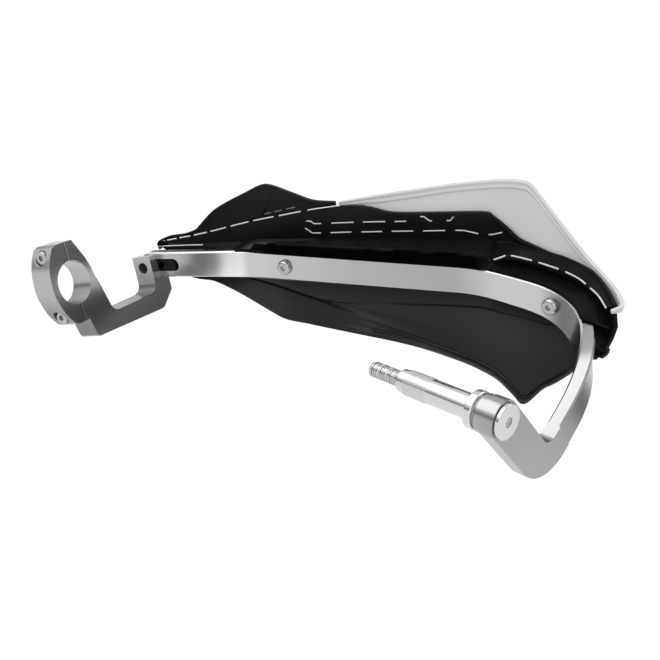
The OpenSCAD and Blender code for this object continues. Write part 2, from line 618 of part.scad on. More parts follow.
module clamp_screw(up) {
    color([0.8, 0.8, 0.82]) in_clamp() at_clamp_screw(up) translate([0, 0, seat_gap])
        socket_screw(clamp_screw_d - 0.1, clamp_head_d, 0.8 * clamp_screw_d, clamp_screw_l, 0.8 * clamp_screw_d);
}
module clamp_screw_upper() {
    clamp_screw(1);
}
module clamp_screw_lower() {
    clamp_screw(-1);
}

// The arm's bolt enters through the washer and the slot and is threaded into the upright
arm_washer_h = 1.6;
arm_washer_d = 16;
arm_head_d = 14;
arm_head_h = 4.4;
arm_socket = 5;
arm_bolt_short = 4;
module arm_bolt() {
    color([0.75, 0.75, 0.77]) in_bar_frame(frames[last - 1])
        translate([0, 0, bar_t / 2 + arm_washer_h + 2 * seat_gap])
        button_screw(stud_d - 0.1, arm_head_d, arm_head_h, bar_t + arm_seat_wall - arm_bolt_short + arm_washer_h,
            arm_socket);
}
module arm_washer() {
    color([0.8, 0.8, 0.82]) in_bar_frame(frames[last - 1]) translate([0, 0, bar_t / 2 + seat_gap])
        difference() {
            cylinder(d = arm_washer_d, h = arm_washer_h);
            translate([0, 0, -1]) cylinder(d = stud_d + 2 * bolt_clear, h = 4);
        }
}

// A dark block that fills the outboard part of the slot
module slot_key() {
    key_l = 10.4;
    key_w = slot_w - 0.4;
    sunk = 1;
    rim = 2;
    rim_t = 1.6;
    color([0.1, 0.1, 0.1]) in_bar_frame(frames[last - 1])
        translate([-slot_l - 0.4, -key_w / 2, -bar_t / 2]) {
            translate([0, 0, sunk]) cube([key_l, key_w, bar_t - sunk + rim_t]);
            translate([-rim, -rim, bar_t + 4 * seat_gap]) cube([key_l + 2 * rim, key_w + 2 * rim, rim_t]);
        }
}

module plug_bolt() {
    color([0.82, 0.83, 0.84]) translate([plate_x + seat_gap, 0, 0]) rotate([0, 90, 0])
        socket_screw(stud_d, head_d, head_x - plate_x, plate_x - stud_x0, 6);
}

module spacer_ring() {
    color([0.85, 0.86, 0.87]) translate([ring_x0, 0, 0]) rotate([0, 90, 0]) difference() {
        chamfered_cylinder(boss_d, ring_x1 - ring_x0 - seat_gap, 0.6);
        translate([0, 0, -1]) cylinder(d = stud_d + 2 * bolt_clear, h = 8);
    }
}

// Split sleeve that the cone spreads against the inside of the handlebar
module expansion_sleeve() {
    slit_w = 1;
    slit_l = 30;
    mouth = 2;
    color([0.85, 0.86, 0.87]) rotate([0, -90, 0]) difference() {
        union() {
            cylinder(d = sleeve_d, h = sleeve_l / 2);
            chamfered_cylinder(sleeve_d, sleeve_l - seat_gap, 0.4);
        }
        translate([0, 0, -1]) cylinder(d = stud_d + 2 * bolt_clear, h = sleeve_l + 2);
        translate([0, 0, sleeve_l - mouth]) cylinder(d1 = stud_d + 2 * bolt_clear, d2 = sleeve_d - 2.4, h = mouth + 0.1);
        translate([0, -slit_w / 2, sleeve_l - slit_l]) cube([sleeve_d, slit_w, slit_l + 1]);
    }
}

module expander_cone() {
    small = 0.3;
    color([0.8, 0.81, 0.82]) translate([cone_x0, 0, 0]) rotate([0, 90, 0]) difference() {
        union() {
            cylinder(d = sleeve_d - 1, h = cone_l - seat_gap);
            translate([0, 0, cone_l - seat_gap]) cylinder(d1 = sleeve_d - 3, d2 = stud_d + 1, h = 1.4 - small);
        }
        translate([0, 0, -1]) cylinder(d = stud_d, h = cone_l + 4);
    }
}

module main_shell() {
    color([0.09, 0.09, 0.1]) difference() {
        union() {
            sheet(skin_rows, shell_t, -1);
            sheet(shelf_rows, shelf_t);
            sheet(flange_rows, flange_t, -1);
            in_bar_frame(bar_frame(inner_screw_run)) insert_boss();
            in_bar_frame(bar_frame(outer_screw_run)) insert_boss();
            for (at = small_screw_places) small_boss(at);
        }
        in_bar_frame(bar_frame(inner_screw_run)) insert_hole();
        in_bar_frame(bar_frame(outer_screw_run)) insert_hole();
        for (at = small_screw_places) small_insert_hole(at);
        swept(bar_rings(bar_clear));
    }
}

// Boss that stands off the bar's forward face and holds a threaded insert
module insert_boss() {
    translate([0, 0, bar_t / 2 + 4 * seat_gap]) cylinder(d = insert_wall_d, h = insert_l + 1.4);
}
module insert_hole() {
    translate([0, 0, bar_t / 2 - 1]) cylinder(d = insert_d, h = insert_l + 1);
}

module shell_insert(run) {
    color([0.75, 0.62, 0.3]) in_bar_frame(bar_frame(run))
        translate([0, 0, bar_t / 2 + 5 * seat_gap]) difference() {
            cylinder(d = insert_d - 2 * seat_gap, h = insert_l - 0.6);
            translate([0, 0, -1]) cylinder(d = shell_screw_d, h = insert_l + 2);
        }
}
module shell_insert_inner() {
    shell_insert(inner_screw_run);
}
module shell_insert_outer() {
    shell_insert(outer_screw_run);
}

module shell_screw(run) {
    color([0.82, 0.82, 0.84]) in_bar_frame(bar_frame(run)) rotate([180, 0, 0])
        translate([0, 0, bar_t / 2 + seat_gap])
        button_screw(shell_screw_d - 0.1, shell_head_d, shell_head_h, bar_t + insert_l - 1, 4);
}
module shell_screw_inner() {
    shell_screw(inner_screw_run);
}
module shell_screw_outer() {
    shell_screw(outer_screw_run);
}

// Places local Z along a small screw, outward from the end of its boss
module at_small_screw(at) {
    z = level_normal(at[0]);
    x = unit(cross([0, 0, 1], z));
    p = shell_point(at);
    multmatrix([
        [x[0], 0, z[0], p[0]],
        [x[1], 0, z[1], p[1]],
        [x[2], 1, z[2], p[2]],
        [0, 0, 0, 1]
    ]) children();
}
module small_boss(at) {
    at_small_screw(at) translate([0, 0, small_boss_root - small_boss_l])
        cylinder(d = small_boss_d, h = small_boss_l - small_boss_root);
}
module small_insert_hole(at) {
    at_small_screw(at) translate([0, 0, small_floor - small_boss_l]) cylinder(d = small_insert_d, h = small_boss_l);
}
module small_screw(at) {
    color([0.3, 0.3, 0.31]) at_small_screw(at) translate([0, 0, seat_gap])
        button_screw(small_screw_d - 0.1, small_head_d, small_head_h, small_insert_l, small_socket);
}
module small_insert(at) {
    color([0.75, 0.62, 0.3]) at_small_screw(at) translate([0, 0, -small_insert_l - 0.2]) difference() {
        cylinder(d = small_insert_d - 2 * seat_gap, h = small_insert_l);
        translate([0, 0, -1]) cylinder(d = small_screw_d, h = small_insert_l + 2);
    }
}
// What an outer piece leaves clear around a boss and under a screw's head
module boss_room(at) {
    at_small_screw(at) {
        translate([0, 0, -2 * small_boss_l]) cylinder(d = small_boss_d + 2 * small_clear, h = 3 * small_boss_l);
        translate([0, 0, -small_clear]) cylinder(d = small_head_d + 2, h = small_boss_l);
    }
}
module wing_screw_inner() {
    small_screw(wing_screw_inner_at);
}
module wing_screw_outer() {
    small_screw(wing_screw_outer_at);
}
module wing_insert_inner() {
    small_insert(wing_screw_inner_at);
}
module wing_insert_outer() {
    small_insert(wing_screw_outer_at);
}
module deflector_screw_inner() {
    small_screw(deflector_screw_inner_at);
}
module deflector_screw_middle() {
    small_screw(deflector_screw_middle_at);
}
module deflector_screw_outer() {
    small_screw(deflector_screw_outer_at);
}
module deflector_insert_inner() {
    small_insert(deflector_screw_inner_at);
}
module deflector_insert_middle() {
    small_insert(deflector_screw_middle_at);
}
module deflector_insert_outer() {
    small_insert(deflector_screw_outer_at);
}

// A thin outer piece between a low and a high line, bulged outward between them
module outer_piece(low, top, bulge, places) {
    a = shell_line(low);
    b = shell_line(top);
    difference() {
        sheet([a, half_way(a, b, bulge), b], deflector_t, -1);
        for (at = places) boss_room(at);
        sheet(skin_rows, shell_t + small_clear, -1);
    }
}
module upper_wing() {
    color([0.08, 0.08, 0.09]) outer_piece(line_wing_low, line_wing_top, wing_bulge, wing_screw_places);
}
module wind_deflector() {
    color([0.78, 0.79, 0.8, 0.9])
        outer_piece(line_deflector_low, line_deflector_top, deflector_bulge, deflector_screw_places);
}

backbone_bar();
clamp_arm();
clamp_cap();
clamp_screw_upper();
clamp_screw_lower();
arm_bolt();
arm_washer();
slot_key();
plug_bolt();
spacer_ring();
expansion_sleeve();
expander_cone();
main_shell();
upper_wing();
wind_deflector();
shell_screw_inner();
shell_screw_outer();
shell_insert_inner();
shell_insert_outer();
wing_screw_inner();
wing_screw_outer();
wing_insert_inner();
wing_insert_outer();
deflector_screw_inner();
deflector_screw_middle();
deflector_screw_outer();
deflector_insert_inner();
deflector_insert_middle();
deflector_insert_outer();
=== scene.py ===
# Right-hand motorcycle hand guard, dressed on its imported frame.
import math

import bmesh
import bpy
import numpy as np
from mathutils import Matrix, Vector
from mathutils.bvhtree import BVHTree


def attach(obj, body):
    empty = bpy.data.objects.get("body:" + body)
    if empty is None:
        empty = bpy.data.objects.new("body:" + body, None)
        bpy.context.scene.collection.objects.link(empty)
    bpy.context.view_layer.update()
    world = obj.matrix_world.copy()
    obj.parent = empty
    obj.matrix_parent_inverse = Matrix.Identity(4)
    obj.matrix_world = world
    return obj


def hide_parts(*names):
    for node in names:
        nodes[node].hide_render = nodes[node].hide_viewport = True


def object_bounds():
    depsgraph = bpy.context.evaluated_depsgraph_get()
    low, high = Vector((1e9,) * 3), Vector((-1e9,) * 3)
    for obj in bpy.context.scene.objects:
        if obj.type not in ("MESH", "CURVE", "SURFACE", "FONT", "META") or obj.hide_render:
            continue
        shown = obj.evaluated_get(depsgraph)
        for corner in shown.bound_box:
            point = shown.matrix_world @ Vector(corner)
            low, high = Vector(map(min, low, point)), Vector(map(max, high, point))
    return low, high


print("stage: frame")
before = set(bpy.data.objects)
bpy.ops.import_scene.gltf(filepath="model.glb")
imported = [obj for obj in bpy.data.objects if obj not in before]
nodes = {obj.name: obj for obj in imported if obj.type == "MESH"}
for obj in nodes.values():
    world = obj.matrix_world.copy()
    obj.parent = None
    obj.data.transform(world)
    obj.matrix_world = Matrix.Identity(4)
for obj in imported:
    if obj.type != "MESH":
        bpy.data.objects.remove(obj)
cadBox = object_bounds()
scene = bpy.context.scene
scene.view_settings.view_transform = "Standard"
mm = 0.001

# numbers of a colour mix node's sockets: first colour, second colour and result
firstColor = 6
secondColor = 7
mixedColor = 2


class Tree:
    # makes and joins the nodes of one node tree
    def __init__(self, tree, prefix="ShaderNode"):
        self.tree = tree
        self.prefix = prefix

    def add(self, kind, inputs=None, **settings):
        node = self.tree.nodes.new(kind if "Node" in kind else self.prefix + kind)
        for name, value in settings.items():
            setattr(node, name, value)
        for name, value in (inputs or {}).items():
            node.inputs[name].default_value = value
        return node

    def join(self, *links):
        # each link is a node and its output, and the node and input that it feeds
        for source, output, target, entry in links:
            self.tree.links.new(source.outputs[output], target.inputs[entry])

    def greyRamp(self, stops):
        # stops are a place from 0 to 1 and the level of grey there
        ramp = self.add("ValToRGB")
        while len(ramp.color_ramp.elements) < len(stops):
            ramp.color_ramp.elements.new(0.5)
        for element, (place, level) in zip(ramp.color_ramp.elements, stops):
            element.position = place
            element.color = (level, level, level, 1.0)
        return ramp


def objectOf(name, data):
    made = bpy.data.objects.new(name, data)
    scene.collection.objects.link(made)
    return made


# camera and studio

view = {
    "place": (0.1998, -0.2932, 0.1772),
    "azimuth": 45.6,
    "elevation": 21.4,
    "lens": 43.64,
    "clipStart": 0.01,
}


def makeCamera():
    data = bpy.data.cameras.new("viewCamera")
    data.lens = view["lens"]
    data.clip_start = view["clipStart"]
    camera = objectOf("viewCamera", data)
    camera.location = view["place"]
    camera.rotation_euler = (math.radians(90.0 - view["elevation"]), 0.0, math.radians(view["azimuth"]))
    scene.camera = camera


studio = {
    "worldLevel": 0.62,
    "floorDrop": 0.34,
    "floorSize": 6.0,
    "floorPaint": (0.82, 0.82, 0.82),
    # how bright the floor's own light is, and the share of it that seeing rays get
    "floorLevel": 1.06,
    "floorGlow": 0.95,
    # name, place, size and power
    "lamps": (
        ("keyLamp", (-0.5, -0.35, 0.95), (1.3, 1.0), 6.3),
        ("fillLamp", (0.75, -0.75, 0.35), (0.8, 0.8), 1.8),
        ("rimLamp", (0.45, 0.75, 0.55), (0.7, 0.5), 1.2),
    ),
    "lampsAim": (-0.13, 0.04, 0.0),
    # share of white at a direction's height, from straight down to straight up
    "sky": ((0.0, 1.0), (0.54, 1.0), (0.57, 0.32), (0.63, 0.24), (0.70, 0.85), (1.0, 1.0)),
    # a dark wall far ahead of the guard that only metal reflects: direction, soft edge and depth
    "wallAhead": (0.30, 0.93, -0.22),
    "wallEdge": (0.955, 0.985),
    "wallDepth": 0.93,
}


def wallAhead(tree, level):
    # the level, less for mirrored rays that run towards the dark wall
    path = tree.add("LightPath")
    coord = tree.add("NewGeometry")
    toward = tuple(-v for v in studio["wallAhead"])
    dot = tree.add("VectorMath", {1: toward}, operation="DOT_PRODUCT")
    edge = tree.add("MapRange", {
        "From Min": studio["wallEdge"][0],
        "From Max": studio["wallEdge"][1],
        "To Max": studio["wallDepth"],
    }, interpolation_type="SMOOTHSTEP")
    only = tree.add("Math", operation="MULTIPLY")
    rest = tree.add("Math", {0: level}, operation="SUBTRACT")
    tree.join(
        (coord, "Incoming", dot, 0),
        (dot, "Value", edge, "Value"),
        (edge, "Result", only, 0),
        (path, "Is Glossy Ray", only, 1),
        (only, 0, rest, 1),
    )
    return rest, 0


def seenFactor(tree, share):
    # the share for rays straight from the camera, in a mirror or through glass, and 0 for others
    path = tree.add("LightPath")
    first = tree.add("Math", operation="MAXIMUM")
    second = tree.add("Math", operation="MAXIMUM")
    scale = tree.add("Math", {1: share}, operation="MULTIPLY")
    tree.join(
        (path, "Is Camera Ray", first, 0),
        (path, "Is Transmission Ray", first, 1),
        (first, 0, second, 0),
        (path, "Is Glossy Ray", second, 1),
        (second, 0, scale, 0),
    )
    return scale, 0


def showAndLight(tree, out, light, shown, share):
    # rays that show the background meet the second shader, and all others the first
    mix = tree.add("MixShader")
    tree.join(
        (*seenFactor(tree, share), mix, 0),
        (light, 0, mix, 1),
        (shown, 0, mix, 2),
        (mix, 0, tree.add(out), "Surface"),
    )


def makeWorld():
    world = bpy.data.worlds.new("studioWorld")
    scene.world = world
    world.use_nodes = True
    world.node_tree.nodes.clear()
    tree = Tree(world.node_tree)
    light = tree.add("Background", {"Strength": studio["worldLevel"]})
    shown = tree.add("Background")
    coord = tree.add("TexCoord")
    split = tree.add("SeparateXYZ")
    lift = tree.add("MapRange", {"From Min": -1.0, "From Max": 1.0})
    ramp = tree.greyRamp(studio["sky"])
    # the dark band is for mirrored rays: straight to the camera the background is plain white
    path = tree.add("LightPath")
    plain = tree.add("Mix", data_type="RGBA")
    plain.inputs[firstColor].default_value = (1.0, 1.0, 1.0, 1.0)
    tree.join(
        (coord, "Generated", split, 0),
        (split, "Z", lift, "Value"),
        (lift, "Result", ramp, "Fac"),
        (path, "Is Glossy Ray", plain, 0),
        (ramp, "Color", plain, secondColor),
        (plain, mixedColor, shown, "Color"),
        (*wallAhead(tree, 1.0), shown, "Strength"),
    )
    showAndLight(tree, "OutputWorld", light, shown, 1.0)


def makeFloor():
    size = studio["floorSize"]
    mesh = bpy.data.meshes.new("studioFloor")
    z = cadBox[0][2] - studio["floorDrop"]
    corners = [(-size, -size, z), (size, -size, z), (size, size, z), (-size, size, z)]
    mesh.from_pydata(corners, [], [(0, 1, 2, 3)])
    floor = objectOf("studioFloor", mesh)
    material = bpy.data.materials.new("floorWhite")
    material.use_nodes = True
    material.node_tree.nodes.clear()
    tree = Tree(material.node_tree)
    paint = tree.add("BsdfDiffuse", {"Color": (*studio["floorPaint"], 1.0)})
    glow = tree.add("Emission")
    tree.join((*wallAhead(tree, studio["floorLevel"]), glow, "Strength"))
    showAndLight(tree, "OutputMaterial", paint, glow, studio["floorGlow"])
    mesh.materials.append(material)


def makeLamp(name, place, size, power):
    data = bpy.data.lights.new(name, "AREA")
    data.shape = "RECTANGLE"
    data.size = size[0]
    data.size_y = size[1]
    data.energy = power
    lamp = objectOf(name, data)
    lamp.location = place
    aim = Vector(studio["lampsAim"]) - Vector(place)
    lamp.rotation_euler = aim.to_track_quat("-Z", "Y").to_euler()


makeCamera()
makeWorld()
makeFloor()
for lampValues in studio["lamps"]:
    makeLamp(*lampValues)

# materials

print("stage: materials")

texture = {
    "cloudScale": 18.0,
    "cloudDetail": 3.0,
    "fineDetail": 2.0,
    # the values of noise that give the first and the last of a range
    "ends": (0.3, 0.7),
    "coatRough": 0.08,
}


def noiseOn(tree, coord, scale, detail, stretch=(1.0, 1.0, 1.0)):
    mapping = tree.add("Mapping", {"Scale": stretch})
    noise = tree.add("TexNoise", {"Scale": scale, "Detail": detail})
    tree.join(
        (coord, "Object", mapping, "Vector"),
        (mapping, "Vector", noise, "Vector"),
    )
    return noise, "Fac"


def rangeOf(tree, value, low, high):
    node = tree.add("MapRange", {
        "From Min": texture["ends"][0],
        "From Max": texture["ends"][1],
        "To Min": low,
        "To Max": high,
    })
    tree.join((*value, node, "Value"))
    return node, "Result"


def colorBetween(tree, value, dark, light):
    ramp = tree.add("ValToRGB")
    for element, place, color in zip(ramp.color_ramp.elements, texture["ends"], (dark, light)):
        element.position = place
        element.color = (*np.broadcast_to(color, 3), 1.0)
    tree.join((*value, ramp, "Fac"))
    return ramp, "Color"


def materialTree(name):
    tree = bpy.data.materials[name].node_tree
    return Tree(tree), tree.nodes["Principled BSDF"]


def finish(name, dark, light, rough, grain, stretch, depth, metallic=1.0, level=0.5, coat=0.0):
    material = bpy.data.materials.new(name)
    material.use_nodes = True
    tree, shader = materialTree(name)
    values = (("Metallic", metallic), ("Specular IOR Level", level), ("Coat Weight", coat))
    for title, value in (*values, ("Coat Roughness", texture["coatRough"])):
        shader.inputs[title].default_value = value
    coord = tree.add("TexCoord")
    cloud = noiseOn(tree, coord, texture["cloudScale"], texture["cloudDetail"])
    fine = noiseOn(tree, coord, grain, texture["fineDetail"], stretch)
    bump = tree.add("Bump", {"Distance": depth})
    tree.join(
        (*colorBetween(tree, cloud, dark, light), shader, "Base Color"),
        (*rangeOf(tree, fine, *rough), shader, "Roughness"),
        (*fine, bump, "Height"),
        (bump, "Normal", shader, "Normal"),
    )
    return material


even = (1.0, 1.0, 1.0)
lengthwise = (1.0, 1.0, 6.0)
shellShine = 0.26
looks = {
    # material's name, dark and light colour or grey, range of roughness, grain of the fine noise,
    # its stretch, depth of the bump, and metallic, level of shine and coat unless plain metal
    "bar": ("satinBar", (0.80, 0.80, 0.805), (0.86, 0.86, 0.865), (0.20, 0.27),
        900.0, lengthwise, 0.00001),
    "clamp": ("milledClamp", (0.50, 0.50, 0.51), (0.54, 0.54, 0.55), (0.17, 0.22),
        700.0, (8.0, 1.0, 1.0), 0.000004, 0.78),
    "plug": ("brightPlug", 0.60, 0.68, (0.10, 0.16), 500.0, (1.0, 9.0, 9.0), 0.000004),
    "thread": ("cutThread", 0.42, 0.50, (0.22, 0.30), 900.0, even, 0.000004),
    "fastener": ("zincScrew", (0.38, 0.38, 0.39), (0.48, 0.48, 0.49), (0.10, 0.18), 1200.0, even, 0.00001),
    "darkFastener": ("blackScrew", 0.05, 0.08, (0.35, 0.5), 1200.0, even, 0.00001),
    # a black bolt, its finish made darker than the other black screws as painted shade of the hole it sits
    # in
    "shadedBolt": ("shadedBolt", 0.03, 0.05, (0.35, 0.5), 1200.0, even, 0.00001),
    "brass": ("turnedBrass", (0.50, 0.36, 0.14), (0.60, 0.45, 0.20), (0.22, 0.34),
        900.0, lengthwise, 0.00001),
    "shell": ("shellBlack", (0.026, 0.026, 0.0265), (0.030, 0.030, 0.0305), (0.30, 0.40),
        1600.0, even, 0.00001, 0.0, shellShine),
    "key": ("keyBlack", 0.006, 0.010, (0.45, 0.6), 1600.0, even, 0.00002, 0.0, 0.2),
    "slotLight": ("slotWhite", 0.86, 0.90, (0.4, 0.5), 900.0, even, 0.000002, 0.0, 0.3),
    "slotDim": ("slotGrey", 0.20, 0.26, (0.4, 0.5), 900.0, even, 0.000002, 0.0, 0.3),
    "deflector": ("deflectorGrey", (0.80, 0.80, 0.805), (0.84, 0.84, 0.845), (0.16, 0.24),
        900.0, even, 0.000002, 0.0, 0.4, 0.25),
}
finishes = {key: finish(*values) for key, values in looks.items()}


def paintLightAlong(name, axis, ends, stops):
    # multiplies a finish's colour by a soft ramp along one axis of the object, painting light and shade
    # into it
    tree, shader = materialTree(name)
    source = shader.inputs["Base Color"].links[0].from_node
    coord = tree.add("TexCoord")
    split = tree.add("SeparateXYZ")
    reach = tree.add("MapRange", {"From Min": ends[0] * mm, "From Max": ends[1] * mm})
    ramp = tree.greyRamp([((place - ends[0]) / (ends[1] - ends[0]), level) for place, level in stops])
    ramp.color_ramp.interpolation = "EASE"
    mix = tree.add("Mix", {0: 1.0}, data_type="RGBA", blend_type="MULTIPLY")
    tree.join(
        (coord, "Object", split, 0),
        (split, axis, reach, "Value"),
        (reach, "Result", ramp, "Fac"),
        (source, "Color", mix, firstColor),
        (ramp, "Color", mix, secondColor),
        (mix, mixedColor, shader, "Base Color"),
    )


def shadeByPaint(name, level):
    # the shade painted on a mesh takes colour and shine away
    tree, shader = materialTree(name)
    source = shader.inputs["Base Color"].links[0].from_node
    read = tree.add("Attribute", attribute_name="shade")
    keep = tree.add("Math", {0: 1.0}, operation="SUBTRACT")
    shine = tree.add("Math", {1: level}, operation="MULTIPLY")
    tone = tree.add("VectorMath", operation="SCALE")
    tree.join(
        (read, "Fac", keep, 1),
        (keep, 0, shine, 0),
        (shine, 0, shader, "Specular IOR Level"),
        (source, "Color", tone, 0),
        (keep, 0, tone, "Scale"),
        (tone, 0, shader, "Base Color"),
    )


# painted reflections on the bar: its colour is lighter where it bends, as a painted sheen, and darker
# round the outer bend, as a painted dark reflection
paintLightAlong("satinBar", "X", (-325.0, 25.0), (
    (-320, 0.55), (-254, 0.60), (-243, 1.0), (-233, 1.0), (-224, 0.72), (-190, 0.60), (-140, 0.52),
    (-85, 0.48), (-50, 0.70), (-32, 0.68), (-14, 0.20), (-4, 0.24), (6, 0.46), (20, 0.43),
))
# painted shade: the arm's colour is darker towards its lower corner
paintLightAlong("milledClamp", "Z", (-40.0, 45.0), ((-30.0, 0.42), (-8.0, 0.50), (14.0, 0.9), (40.0, 1.0)))
# painted shade and light on the black pieces, read from their shade attribute
shadeByPaint("shellBlack", shellShine)

# the bar's run, which the plastic pieces follow

barRun = {
    "clampPlace": (-273.3, -63.6, 15.4),
    "clampYaw": 20.0,
    "clampTilt": 12.0,
    "boltForward": 88.5,
    "boltDrop": 10.3,
    "boltInboard": 8.0,
    "plateMiddle": 13.8,
    "legAngle": -46.5,
    "legLength": 62.5,
    "riseAngle": 37.7,
    # distances up the rise where the run starts and where it bends, and how far inboard the bend lies
    "riseStart": 22.0,
    "riseBend": 62.0,
    "riseInset": 0.8,
    "corners": ((-10.5, 111.5, 21.0), (-68.0, 97.5, 28.5), (-230.0, 46.0, 15.0)),
    "leans": (37.7, 8.0, 2.0, 12.0, 1.0, 4.0),
    # share of the side before and of the side after that the two outer bends take up
    "bendsBack": (0.75, 0.5),
    "bendsOn": (0.5, 0.5),
    # distance from the corner that the two inner bends take up on both sides
    "bendReach": 14.0,
    "innerBendReach": 12.0,
    "bendSteps": (0, 8, 8, 4, 3),
    "pastBolt": 7.0,
    # half the stretch of bar that gives its direction at a place
    "slopeReach": 2.0,
    "width": 19.0,
    "thickness": 8.0,
}


def unit(v):
    return v / np.linalg.norm(v)


def makeRun():
    yaw = math.radians(barRun["clampYaw"])
    tilt = math.radians(barRun["clampTilt"])
    outboard = np.array([math.cos(yaw) * math.cos(tilt), math.sin(yaw) * math.cos(tilt), math.sin(tilt)])
    forward = np.array([-math.sin(yaw), math.cos(yaw), 0.0])
    up = np.cross(outboard, forward)
    bolt = (
        np.array(barRun["clampPlace"])
        + barRun["boltForward"] * forward
        - barRun["boltDrop"] * up
        - barRun["boltInboard"] * outboard
    )
    leg = math.radians(barRun["legAngle"])
    rise = math.radians(barRun["riseAngle"])

    def onRise(x, d):
        y = barRun["legLength"] * math.cos(leg) + d * math.cos(rise)
        return np.array([x, y, barRun["legLength"] * math.sin(leg) + d * math.sin(rise)])

    corners = [
        onRise(barRun["plateMiddle"], barRun["riseStart"]),
        onRise(barRun["plateMiddle"] - barRun["riseInset"], barRun["riseBend"]),
    ]
    corners += [np.array(c) for c in barRun["corners"]] + [bolt]
    leans = list(barRun["leans"])

    def side(i):
        return np.linalg.norm(corners[i + 1] - corners[i])

    back = [0.0, *barRun["bendsBack"], barRun["bendReach"] / side(2), barRun["innerBendReach"] / side(3)]
    on = [0.0, *barRun["bendsOn"], barRun["bendReach"] / side(3), barRun["innerBendReach"] / side(4)]
    steps = barRun["bendSteps"]

    def bend(values, i, u):
        a = values[i] + (values[i - 1] - values[i]) * back[i]
        b = values[i] + (values[i + 1] - values[i]) * on[i]
        return (1 - u) ** 2 * a + 2 * u * (1 - u) * values[i] + u * u * b

    places = [corners[0]]
    tilts = [leans[0]]
    for i in range(1, len(steps)):
        for j in range(1 if i == 2 else 0, steps[i] + 1):  # the second bend starts where the first ends
            places.append(bend(corners, i, j / steps[i]))
            tilts.append(bend(leans, i, j / steps[i]))
    places += [bolt, bolt + barRun["pastBolt"] * unit(bolt - corners[-2])]
    tilts += [leans[-1], leans[-1]]
    places.reverse()
    tilts.reverse()
    run = [-barRun["pastBolt"]]
    for a, b in zip(places, places[1:]):
        run.append(run[-1] + np.linalg.norm(b - a))
    return np.array(run), np.array(places), np.array(tilts)


runTable, placeTable, leanTable = makeRun()


def barAt(s):
    return np.array([np.interp(s, runTable, placeTable[:, k]) for k in range(3)])


def barFrame(s):
    # place, direction inboard, width direction and face direction (forward)
    reach = barRun["slopeReach"]
    along = unit(barAt(s - reach) - barAt(s + reach))
    lean = math.radians(np.interp(s, runTable, leanTable))
    across = np.array([0.0, -math.sin(lean), math.cos(lean)])
    across = unit(across - across.dot(along) * along)
    return barAt(s), along, across, np.cross(along, across)


def levelNormal(s):
    face = barFrame(s)[3]
    return unit(np.array([face[0], face[1], 0.0]))


def beside(s, h, z):
    return barAt(s) + h * levelNormal(s) + np.array([0.0, 0.0, z])


fullBulgeHeight = 16.0


def bulgeShare(low, top):
    # a low band bulges less
    return np.minimum(1.0, np.linalg.norm(top - low, axis=1) / fullBulgeHeight)[:, None]


def smoothLine(points, steps):
    # a smooth curve through points or numbers, with steps pieces between two of them
    p = [np.asarray(q, dtype=float) for q in points]
    p = [2 * p[0] - p[1]] + p + [2 * p[-1] - p[-2]]
    made = []
    for i in range(1, len(p) - 2):
        a, b, c, d = p[i - 1], p[i], p[i + 1], p[i + 2]
        for j in range(steps):
            u = j / steps
            made.append(
                0.5 * (2 * b + (c - a) * u + (2 * a - 5 * b + 4 * c - d) * u * u
                       + (3 * b - a - 3 * c + d) * u ** 3)
            )
    made.append(p[-2])
    return np.array(made)


